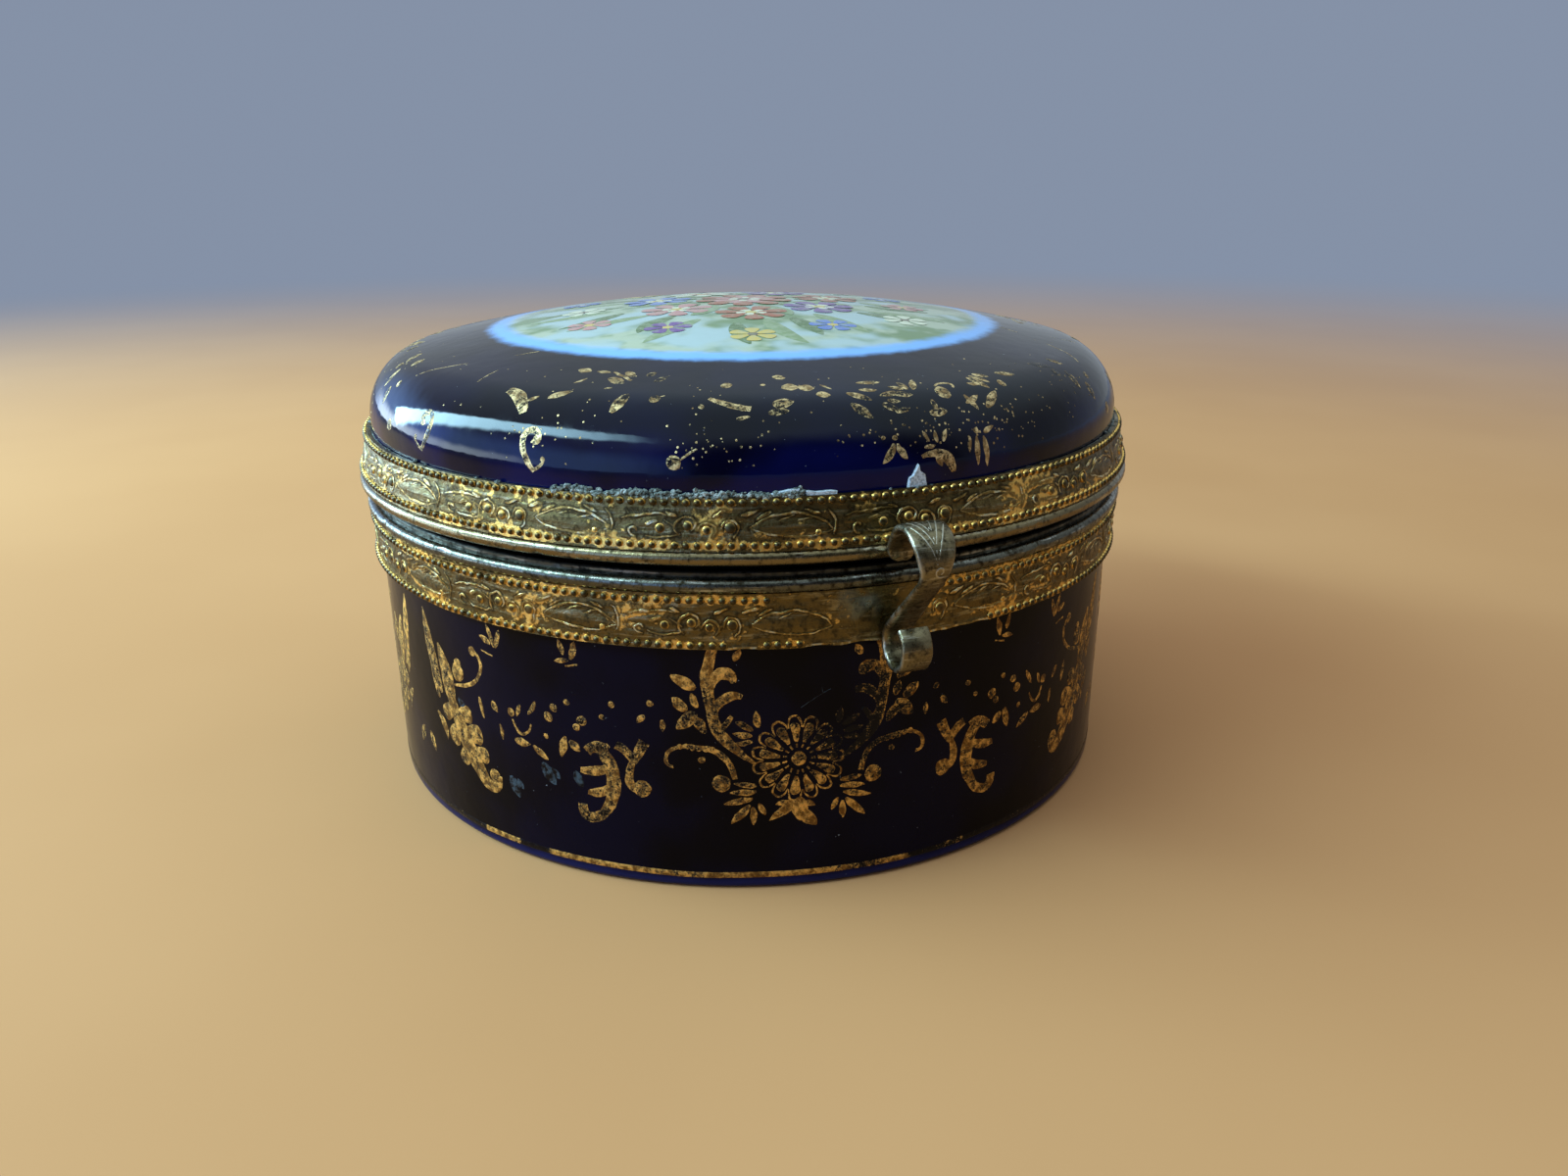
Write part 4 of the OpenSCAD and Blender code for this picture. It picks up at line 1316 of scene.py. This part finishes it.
# Stretches in degrees from the front where the stamping is lost: worn flat beside the clasp, and torn edges
WORN_FLAT = (-14.0, 3.0)
LOST_TOP_BEADS = ((-15.0, 5.0),)
LOST_LOW_BEADS = ((-20.5, -16.5), (-11.0, 1.0), (3.5, 14.0))
TORN_H = 0.6
TORN_BRIGHT_H = 0.2
TORN_BRIGHT = 0.75
TORN_UP, TORN_OUT = 0.3, 0.12
SOLDER_ANGLE, SOLDER_H = -4.4, 3.8
SOLDER_REACH = (3.6, 1.5)
SOLDER_LIFT = 0.16


def bead_row(place, h, lost):
    """A row of stamped beads on a band: one bead spun to a group, and the group round the box."""
    bm = bmesh.new()
    relief = bm.verts.layers.float.new("relief")
    spot = place(-math.pi * BODY_R, h, 0) * MM
    bmesh.ops.create_icosphere(bm, subdivisions=2, radius=BEAD_R * MM, matrix=Matrix.Translation(spot))
    for v in bm.verts:
        v[relief] = max(0.0, (v.co - spot).y / (BEAD_R * MM))
    hidden = [v for v in bm.verts if (v.co - spot).y < -BEAD_SUNK * BEAD_R * MM]
    bmesh.ops.delete(bm, geom=hidden, context="VERTS")
    pitch = math.tau / BEADS_PER_ROW
    groups = BEADS_PER_ROW // BEADS_PER_GROUP
    for count, step in ((BEADS_PER_GROUP, pitch), (groups, pitch * BEADS_PER_GROUP)):
        bmesh.ops.spin(
            bm, geom=bm.verts[:] + bm.edges[:] + bm.faces[:], cent=(0, 0, 0), axis=(0, 0, 1),
            angle=step * (count - 1), steps=count - 1, use_duplicate=True,
        )
    pitch = math.degrees(pitch)
    gone = [v for v in bm.verts if within(round((front_angle(v.co) + 180) / pitch) * pitch - 180, lost)]
    bmesh.ops.delete(bm, geom=gone, context="VERTS")
    return meshed("beads", bm)


def band_strip(low, high, key):
    """The stamped strip itself, fine enough to swell along its ridges."""
    (low_r, low_z), (high_r, high_z) = low, high
    face = [(low_r + (high_r - low_r) * k / STRIP_ROWS, low_z + (high_z - low_z) * k / STRIP_ROWS)
            for k in range(STRIP_ROWS + 1)]
    bm = ribbon([(low_r - STRIP_T, low_z)] + face + [(high_r - STRIP_T, high_z)], STRIP_STEPS)
    dented(bm, STRIP_DENT, key)
    return bm


def scroll_round(motif, height, worn):
    """One motif's strokes repeated round a band and fitted to its height, but for the worn stretch."""
    girth = math.tau * BODY_R
    fit = height / BODY_BAND_H
    fitted = [([(x, y * fit) for x, y in points], widths) for points, widths in motif]
    strokes = [s for k in range(SCROLL_REPEATS)
               for s in moved(fitted, (k / SCROLL_REPEATS - 0.5) * girth, height / 2)]
    return [s for s in strokes if not within(math.degrees(s[0][0][0] / BODY_R), worn)]


def ridge_tree(lines):
    """The drawn lines' points, to find how near a place on the strip is to a ridge."""
    ridges = kdtree.KDTree(len(lines.vertices))
    for i, v in enumerate(lines.vertices):
        ridges.insert((v.co.x, v.co.y, 0), i)
    ridges.balance()
    return ridges


def solder_smear(angle, h, spot):
    """The grey smear of solder on the lower band, left of the clasp."""
    away = math.hypot((angle - SOLDER_ANGLE) / SOLDER_REACH[0], (h - SOLDER_H) / SOLDER_REACH[1])
    return clamped(1.6 - 1.5 * away + 0.9 * noise.noise(spot * 0.8))


def strip_wear(bm, layers, ridges, low_z, rows, worn, key):
    """Swells a strip along its ridges, and marks its hollows, which take grime and painted shade, gilt
    patches, torn edge and solder.
    """
    relief, hollow, gilt, smear = layers
    for v in bm.verts:
        spot = v.co / MM
        angle = front_angle(spot)
        along = math.radians(angle) * BODY_R
        h = spot.z - low_z
        away = ridges.find((along, h, 0))[2]
        near = bell(away, RIDGE_REACH)
        patch = clamped(0.5 + 1.5 * noise.noise(Vector((along * 0.16, h * 0.25, key))))
        beads = max(kept * bell(h - at, BEAD_GILT_REACH) * (LOST_BEAD_GILT if within(angle, lost) else 1.0)
                    for at, lost, kept in rows)
        v[hollow] = near
        v[gilt] = max(beads, 0.75 * bell(away, GILT_REACH) * patch)
        lift = RIDGE_LIFT * near + STRIP_DENT * noise.noise(spot * 0.9)
        if worn:
            v[smear] = solder_smear(angle, h, spot)
            lift += SOLDER_LIFT * v[smear] * (0.6 + noise.noise(spot * 0.7))
            if h < TORN_H and within(angle, rows[0][1]):
                v.co.z += TORN_UP * MM * (TORN_H - h) * (0.6 + noise.noise(Vector((along * 0.5, 3.1, 0))))
                v[relief] = TORN_BRIGHT if h < TORN_BRIGHT_H else 0.0
                lift += TORN_OUT * (TORN_H - h)
        v.co += Vector((spot.x, spot.y, 0)).normalized() * MM * lift


def raised(full, most=1.0):
    """How far a drawn point stands out, as a share of a full height."""
    return lambda s, h, out: clamped(out / full, most)


# 1 at the foot of a drawn line, where the strip takes grime and painted shade
def line_foot(s, h, out):
    return 1.0 - clamped(out / LINE_FULL)


def stamped_band(name, place, low, high, body, node, rows, worn, key):
    """One mount's gallery band: strip, scroll relief, bosses and its two bead rows.
    A row gives its height, the stretches where its beads are lost, and how much gilt is kept there."""
    height = high[1] - low[1]
    lines = drawn(scroll_round(scroll_lines(), height, worn), LINE_RISE, STROKE_FINENESS, shake=STAMP_SHAKE)
    bm = band_strip(low, high, key)
    layers = [bm.verts.layers.float.new(layer) for layer in BAND_LAYERS]
    strip_wear(bm, layers, ridge_tree(lines), low[1], rows, worn, key)
    relief, hollow = layers[:2]
    wrapped(lines, place, bm, [(relief, raised(LINE_FULL)), (hollow, line_foot)])
    bodies = drawn(scroll_round(scroll_leaves(), height, worn), LEAF_RISE, STROKE_FINENESS, shake=STAMP_SHAKE)
    wrapped(bodies, place, bm, [(relief, raised(LEAF_FULL, LEAF_MOST))])
    stamped = set(bm.faces)
    bosses = drawn(scroll_round(scroll_bosses(), height, worn), BOSS_RISE, sides=2)
    wrapped(bosses, place, bm, [(relief, raised(BOSS_FULL))])
    for h, lost, _ in rows:
        beads = bead_row(place, h, lost)
        bm.from_mesh(beads)
        bpy.data.meshes.remove(beads)
    for face in bm.faces:
        face.material_index = 0 if face in stamped else 1
    piece(name, bm, [STAMPED_BRASS, BEAD_BRASS], body, [node])


def bands():
    stamped_band(
        "lower_band", on_body_band, (BODY_BAND_R, BODY_BAND_LOW_Z), (BODY_BAND_R, BODY_BAND_HIGH_Z),
        "base", "body_gallery_band",
        rows=[(0.42, LOST_LOW_BEADS, 0.85), (BODY_BAND_H - 0.6, LOST_TOP_BEADS, 1.0)],
        worn=(WORN_FLAT,), key=4.0)
    stamped_band(
        "upper_band", on_lid_band, (LID_BAND_LOW_R, LID_BAND_LOW_Z), (LID_BAND_HIGH_R, LID_BAND_HIGH_Z),
        "lid", "lid_gallery_band",
        rows=[(0.55, (), 1.0), (LID_BAND_H - 0.42, (), 0.45)], worn=(), key=6.0)


# The plaster that beds the upper band

PLASTER_STRETCH = (-41.0, -11.0)
EDGE_CRUMBS, STRAY_CRUMBS = 540, 80
STRAY_SWELL = 0.25
CRUMB_OUT = (0.0, 0.55)
CRUMB_R = (0.1, 0.26)
CRUMB_GRAIN, CRUMB_SHAKE = 3.0, 0.07
BED_STEPS = 360
BED_TOP_OUT, BED_TOP_IN = 0.15, 0.05
BED_H = 1.2
BED_UNDER = 0.1
CHIP_ANGLE, CHIP_T = 3.1, 0.3
LONG_SLIVER_ANGLE, SHORT_SLIVER_ANGLE, SLIVER_T = -13.6, -8.9, 0.4
FLAKE_LEAN = 0.04
FLAKE_FRONT = 0.9


def plaster_bed():
    """The plaster between the lid and the upper band, with crumbs where it has squeezed out."""
    top = LID_BAND_HIGH_Z
    in_r, out_r = LID_R - BED_UNDER, LID_BAND_HIGH_R - BED_UNDER
    section = [(in_r, top - BED_H), (out_r, top - BED_H), (out_r, top - BED_TOP_OUT), (in_r, top - BED_TOP_IN)]
    bm = ribbon(section, BED_STEPS)
    draw = random.Random(5)
    for k in range(EDGE_CRUMBS + STRAY_CRUMBS):
        at_edge = k < EDGE_CRUMBS
        angle = draw.uniform(*PLASTER_STRETCH) if at_edge else draw.uniform(-180, 180)
        swell = 0.42 + 0.5 * noise.noise(Vector((angle * 0.16, 2.0, 0)))
        swell *= min(1.0, (angle - PLASTER_STRETCH[0]) / 3 + 0.5) if at_edge else STRAY_SWELL
        out = draw.uniform(*CRUMB_OUT)
        size = draw.uniform(*CRUMB_R)
        up = draw.uniform(-0.15, max(0.0, swell * (1.25 - out)))
        spot = on_wall(math.radians(angle) * BODY_R, top + up, out, LID_R) * MM
        stretch = Matrix.Diagonal(
            (draw.uniform(0.8, 1.6), draw.uniform(0.8, 1.3), draw.uniform(0.6, 1.0), 1.0))
        turn = Matrix.Rotation(draw.uniform(0, math.tau), 4, "Z")
        bmesh.ops.create_icosphere(
            bm, subdivisions=1, radius=size * MM, matrix=Matrix.Translation(spot) @ turn @ stretch)
    for v in bm.verts:
        v.co += noise.noise_vector(v.co / MM * CRUMB_GRAIN) * CRUMB_SHAKE * MM
    piece("lid_plaster", bm, [PLASTER], "lid", ["lid_cement"], sharp=20)


def flake(bm, angle, outline, thickness):
    """A flat broken piece that stands on the upper band's edge and leans on the lid."""
    low_z = LID_BAND_HIGH_Z - BED_UNDER
    s = math.radians(angle) * LID_R
    verts = [bm.verts.new(on_wall((s + x) * BODY_R / LID_R, low_z + h, FLAKE_LEAN, LID_R) * MM)
             for x, h in outline]
    face = bm.faces.new(verts)
    grown = bmesh.ops.extrude_face_region(bm, geom=[face])["geom"]
    front = [v for v in grown if isinstance(v, bmesh.types.BMVert)]
    outward = Vector((math.sin(math.radians(angle)), -math.cos(math.radians(angle)), 0))
    middle = sum((v.co for v in front), Vector()) / len(front)
    for v in front:
        v.co = middle + (v.co - middle) * FLAKE_FRONT + outward * thickness * MM


def plaster_flakes():
    """Two white slivers along the band's edge and a pointed chip beside the clasp."""
    chip = [(-1.0, 0), (1.0, 0), (0.9, 0.3), (0.75, 1.1), (0.2, 1.5), (0.05, 2.1), (-0.1, 1.9), (-0.5, 1.1),
            (-0.85, 0.9)]
    long_sliver = [(-1.8, 0), (1.7, 0), (1.7, 0.72), (0.9, 0.66), (0.2, 0.55), (-0.9, 0.3)]
    short_sliver = [(-1.4, 0), (1.5, 0), (1.5, 0.3), (0.9, 0.42), (-0.4, 0.36), (-1.4, 0.5)]
    bm = bmesh.new()
    flake(bm, CHIP_ANGLE, chip, CHIP_T)
    flake(bm, LONG_SLIVER_ANGLE, long_sliver, SLIVER_T)
    flake(bm, SHORT_SLIVER_ANGLE, short_sliver, SLIVER_T)
    bmesh.ops.triangulate(bm, faces=[f for f in bm.faces if len(f.verts) > 4])
    bmesh.ops.recalc_face_normals(bm, faces=bm.faces)
    piece("plaster_flakes", bm, [BROKEN_PLASTER], "lid", sharp=20)


# The clasp

LEG_COS, LEG_SIN = math.cos(LEG_SLOPE), math.sin(LEG_SLOPE)
LEG_TOP = (ARCH_U + ARCH_R * LEG_SIN, ARCH_Z - ARCH_R * LEG_COS)
LEG_LOW_U = CURL_U - CURL_R * LEG_SIN
LEG_LOW = (LEG_LOW_U, LEG_TOP[1] - (LEG_TOP[0] - LEG_LOW_U))
FOOT_STEPS, ARCH_STEPS, LEG_STEPS, CURL_STEPS = 6, 24, 8, 36
ACROSS = Vector((1, 0, 0))
CLASP_CORNER = 0.16
CLASP_CROWN = 0.04
VEIN_LIFT = 0.03
VEIN_RISE = 0.6
CLASP_WAVER = 0.05


def clasp_line():
    """Middle line of the strip, from its foot to the end of its curl."""
    low_u = FOOT_U + FOOT_BEND_R * (1 - LEG_SIN)
    high_u, high_z = ARCH_U - ARCH_R * LEG_SIN, ARCH_Z + ARCH_R * LEG_COS
    foot_top = high_z - (high_u - low_u) - FOOT_BEND_R * LEG_COS
    foot_end = LID_SEAT_Z + GROOVE_HALF
    line = [(FOOT_U, foot_end + (foot_top - foot_end) * k / FOOT_STEPS) for k in range(FOOT_STEPS)]
    line += bend((FOOT_U + FOOT_BEND_R, foot_top), FOOT_BEND_R, 180, 135, 4)
    line += bend((ARCH_U, ARCH_Z), ARCH_R, 135, -45, ARCH_STEPS)
    (top_u, top_z), (low_u, low_z) = LEG_TOP, LEG_LOW
    line += [(top_u + (low_u - top_u) * k / LEG_STEPS, top_z + (low_z - top_z) * k / LEG_STEPS)
             for k in range(1, LEG_STEPS)]
    line += bend((CURL_U, low_z - CURL_R * LEG_COS), CURL_R, 135, 135 + CURL_TURN, CURL_STEPS)
    return [Vector((0, -u, z)) for u, z in line]


CLASP_LINE = clasp_line()
CLASP_REACH = [0.0]
for a, b in zip(CLASP_LINE, CLASP_LINE[1:]):
    CLASP_REACH.append(CLASP_REACH[-1] + (b - a).length)
CREST_AT = CLASP_REACH[max(range(len(CLASP_LINE)), key=lambda k: CLASP_LINE[k].z)]


def eased(value, low, high, at_low, at_high):
    """A smooth change from one size to another between two heights."""
    t = clamped((value - low) / (high - low))
    return at_low + (at_high - at_low) * t * t * (3 - 2 * t)


def clasp_width(spot, reach):
    """Broad at the crest, drawn in at the top of the outer leg, wider at the curl and round at the foot."""
    if spot.z > LEG_TOP[1]:
        width = eased(spot.z, LEG_TOP[1], ARCH_Z + ARCH_R * 0.8, WAIST_W, CREST_W)
    else:
        width = eased(spot.z, LEG_LOW[1], LEG_TOP[1], CURL_W, WAIST_W)
    return width * min(1.0, 0.55 + 0.5 * math.sqrt(reach / 0.9))


def on_clasp(reach, x, out):
    """A point on the strip's outer face: reach along from its foot, x across."""
    k = next((i for i in range(1, len(CLASP_REACH) - 1) if CLASP_REACH[i] > reach), len(CLASP_REACH) - 1)
    a, b = CLASP_LINE[k - 1], CLASP_LINE[k]
    share = (reach - CLASP_REACH[k - 1]) / (CLASP_REACH[k] - CLASP_REACH[k - 1])
    outward = (b - a).normalized().cross(ACROSS)
    return a + (b - a) * share + ACROSS * x + outward * (CLASP_T / 2 + VEIN_LIFT + out)


def clasp_veins():
    """Leaf veins on the crest and a small spiral below it."""
    c = CREST_AT
    veins = [[(c - 1.2, 0), (c + 1.5, 0.05), (c + 4.0, 0)]]
    for side in (-1, 1):
        veins += [[(c + 3.6, 0.1 * side), (c + 2.0, 0.7 * side), (c + 0.6, 1.5 * side)],
                  [(c + 2.4, 0.1 * side), (c + 1.0, 0.6 * side), (c - 0.5, 1.3 * side)],
                  [(c + 1.2, 0.1 * side), (c, 0.45 * side), (c - 1.2, 0.9 * side)]]
    return [even(v, 0.2) for v in veins] + [even(spiral((c + 4.6, 0.35), 0.15, 0.6, 0, 400, 9), 0.17)]


def clasp_section(half_w):
    """The strip's section: places across and out, and how much each is rubbed and painted with highlight."""
    half_t = CLASP_T / 2
    side, crown = half_w - CLASP_CORNER, half_t + CLASP_CROWN
    low, high = -half_t + CLASP_CORNER, half_t - CLASP_CORNER
    return [(-half_w, low, 1), (-half_w, high, 1), (-side, half_t, 0.7), (-half_w * 0.4, crown, 0),
            (half_w * 0.4, crown, 0), (side, half_t, 0.7), (half_w, high, 1), (half_w, low, 1),
            (side, -half_t, 0.5), (-side, -half_t, 0.5)]


def clasp_strip():
    """The bent strip, bridged from section to section along its middle line, with its veins on top."""
    bm = bmesh.new()
    relief = bm.verts.layers.float.new("relief")
    loops = []
    last = len(CLASP_LINE) - 1
    for k, spot in enumerate(CLASP_LINE):
        along = (CLASP_LINE[min(k + 1, last)] - CLASP_LINE[max(k - 1, 0)]).normalized()
        outward = along.cross(ACROSS)
        half_w = clasp_width(spot, CLASP_REACH[k]) / 2 + CLASP_WAVER * noise.noise(spot * 0.9)
        verts = []
        for x, y, rubbed in clasp_section(half_w):
            v = bm.verts.new((spot + ACROSS * x + outward * y) * MM)
            v[relief] = rubbed * (0.6 + 0.8 * noise.noise(spot * 0.5))
            verts.append(v)
        loops.append([bm.edges.new(pair) for pair in zip(verts, verts[1:] + verts[:1])])
    for a, b in zip(loops, loops[1:]):
        bmesh.ops.bridge_loops(bm, edges=a + b)
    for end in (loops[0], loops[-1]):
        bmesh.ops.edgeloop_fill(bm, edges=end)
    bmesh.ops.recalc_face_normals(bm, faces=bm.faces)
    # The veins are marked fully pale, rubbed and with painted highlight on their tops
    wrapped(drawn(clasp_veins(), VEIN_RISE), on_clasp, bm, [(relief, lambda s, h, out: 1.0)])
    piece("clasp_strip", bm, [CLASP_BRASS], "clasp", ["clasp"], sharp=50)


# Materials of the CAD nodes that stay

def dress(node, material):
    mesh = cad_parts[node].data
    mesh.materials.clear()
    mesh.materials.append(material)


def hinge_and_bed():
    for node in ("body_hinge_leaf", "lid_hinge_leaf", "hinge_pin"):
        dress(node, HINGE_BRASS)
    dress("body_cement", PLASTER)


# Floor, light and camera

BACKDROP = rgb(0.235, 0.285, 0.385)
FLOOR_PALE, FLOOR_DEEP = rgb(0.66, 0.315, 0.128), rgb(0.62, 0.29, 0.115)
# Painted shade: the floor's colour as seen in reflections
FLOOR_REFLECTED_SHADE = rgb(0.02, 0.014, 0.01)
FLOOR_R = 1.0
FLOOR_FADE = (0.16, 0.7)
ROOM_LOW, ROOM_HIGH = rgb(0.38, 0.43, 0.48), rgb(0.68, 0.86, 1.0)
DARK_ROOM = rgb(0.03, 0.03, 0.035)
LEFT_SIDE, LEFT_WAY = rgb(0.8, 1.4, 2.9), (-0.985, 0.174, 0.0)
LOW_SKY, LOW_SKY_WAY = rgb(4.5, 5.6, 6.8), (-0.87, 0.5, 0.0)
WINDOW_PLACE = (-0.4, 0.028, 0.318)
WINDOW_ALONG = Vector((0.0, -0.875, 0.485)).normalized()
WINDOW_BACK = Vector((-1, 0, 0))
WINDOW_SIZE = (0.965, 0.15)
WINDOW_POWER = 11.8
WINDOW_COLOUR = (0.45, 0.8, 1.0)


def floor():
    """A plain matt floor that fades into the backdrop far from the box, darkened with painted shade where it
    is seen in reflections.
    """
    material, tree, shader = surface("pale floor")
    spot = put(tree, "TexCoord").outputs["Object"]
    colour = mixed(tree, ranged(tree, grain(tree, spot, 9.0, 3.0), 0.3, 0.7), FLOOR_PALE, FLOOR_DEEP)
    # Painted shade: in reflections the floor's colour is pulled towards near black
    reflected_shade = times(tree, put(tree, "LightPath").outputs["Is Glossy Ray"], 0.3)
    finish(tree, shader, mixed(tree, reflected_shade, colour, FLOOR_REFLECTED_SHADE), rough=0.8, shine=0.08)
    far = put(tree, "VectorMath", {0: spot}, operation="LENGTH").outputs["Value"]
    glow = put(tree, "Emission", {"Color": BACKDROP, "Strength": 1.0})
    faded = ranged(tree, far, *FLOOR_FADE)
    both = put(tree, "MixShader", {0: faded, 1: shader.outputs[0], 2: glow.outputs[0]})
    fill(tree, tree.nodes["Material Output"], {"Surface": both.outputs[0]})
    bm = bmesh.new()
    bmesh.ops.create_circle(bm, cap_ends=True, cap_tris=True, radius=FLOOR_R, segments=64)
    made = into_scene("floor", meshed("floor", bm, [material]))


def sky_window():
    """A long window high on the left, fading out towards the end of its length."""
    data = bpy.data.lights.new("window", "AREA")
    data.shape = "RECTANGLE"
    data.size, data.size_y = WINDOW_SIZE
    data.energy = WINDOW_POWER
    data.color = WINDOW_COLOUR
    made = into_scene("window", data)
    made.location = WINDOW_PLACE
    turn = Matrix((WINDOW_ALONG, WINDOW_BACK.cross(WINDOW_ALONG), WINDOW_BACK)).transposed()
    made.rotation_euler = turn.to_euler()
    data.use_nodes = True
    tree = data.node_tree
    along, across, _ = put(tree, "SeparateXYZ", {0: put(tree, "NewGeometry").outputs["Parametric"]}).outputs
    fade = ranged(tree, along, 0.55, 1.0, 1.0, 0.0)
    edge = times(tree, ranged(tree, across, 0.0, 0.3), ranged(tree, across, 1.0, 0.85))
    fill(tree, tree.nodes["Emission"], {"Strength": times(tree, fade, edge)})


def towards(tree, way):
    """How far a ray of the world goes along a direction, 1 straight along it."""
    ray = put(tree, "TexCoord").outputs["Generated"]
    return put(tree, "VectorMath", {0: ray, 1: way}, operation="DOT_PRODUCT").outputs["Value"]


def room():
    """A room that is bright low down on the left and dark behind the viewer."""
    world = bpy.data.worlds.new("studio")
    bpy.context.scene.world = world
    world.use_nodes = True
    tree = world.node_tree
    x, y, z = put(tree, "SeparateXYZ", {0: put(tree, "TexCoord").outputs["Generated"]}).outputs
    colour = mixed(tree, ranged(tree, z, 0.35, 0.9), ROOM_LOW, ROOM_HIGH)
    behind = ranged(tree, y, -0.5, -0.82)
    right = ranged(tree, x, 0.8, 1.0, 0.0, 0.45)
    colour = mixed(tree, sums(tree, "MAXIMUM", behind, right), colour, DARK_ROOM)
    left_side = times(tree, ranged(tree, towards(tree, LEFT_WAY), 0.3, 0.8), ranged(tree, z, 0.5, 0.2))
    colour = mixed(tree, left_side, colour, LEFT_SIDE)
    low_sky = times(tree, ranged(tree, towards(tree, LOW_SKY_WAY), 0.7, 0.93), ranged(tree, z, 0.11, 0.02))
    colour = mixed(tree, low_sky, colour, LOW_SKY)
    seen = put(tree, "LightPath").outputs["Is Camera Ray"]
    fill(tree, tree.nodes["Background"], {"Color": mixed(tree, seen, colour, BACKDROP)})


# The photo's camera: lengths in millimetres, turns in degrees
PHOTO_W = 1600
FOCAL_PX = 1200
SENSOR_W = 36.0
NEAR_CLIP = 0.005
CAMERA_AWAY = 140.6
CAMERA_UP = 66.3
CAMERA_LEFT_OF_CLASP = 17.5
CAMERA_YAW = 1.84
CAMERA_PITCH = 19.85
CAMERA_ROLL = -0.35


def camera():
    data = bpy.data.cameras.new("camera")
    data.sensor_width = SENSOR_W
    data.lens = SENSOR_W * FOCAL_PX / PHOTO_W
    data.clip_start = NEAR_CLIP
    bearing = math.radians(CAMERA_LEFT_OF_CLASP)
    heading = bearing + math.radians(CAMERA_YAW)
    pitch, roll = math.radians(CAMERA_PITCH), math.radians(CAMERA_ROLL)
    level = math.cos(pitch)
    ahead = Vector((math.sin(heading) * level, math.cos(heading) * level, -math.sin(pitch)))
    right = Vector((math.cos(heading), -math.sin(heading), 0))
    up = right.cross(ahead)
    right, up = right * math.cos(roll) + up * math.sin(roll), up * math.cos(roll) - right * math.sin(roll)
    made = into_scene("camera", data)
    made.matrix_world = Matrix((right, up, -ahead)).transposed().to_4x4()
    left, front = math.sin(bearing) * CAMERA_AWAY, math.cos(bearing) * CAMERA_AWAY
    made.location = Vector((-left, -front, CAMERA_UP)) * MM
    bpy.context.scene.camera = made


camera()
porcelain_body()
porcelain_lid()
pot_gilding()
foot_line()
lid_gilding()
medallion()
rims()
bands()
plaster_bed()
plaster_flakes()
clasp_strip()
hinge_and_bed()
floor()
sky_window()
room()
bpy.context.scene.view_settings.view_transform = "Standard"

bpy.context.view_layer.update()
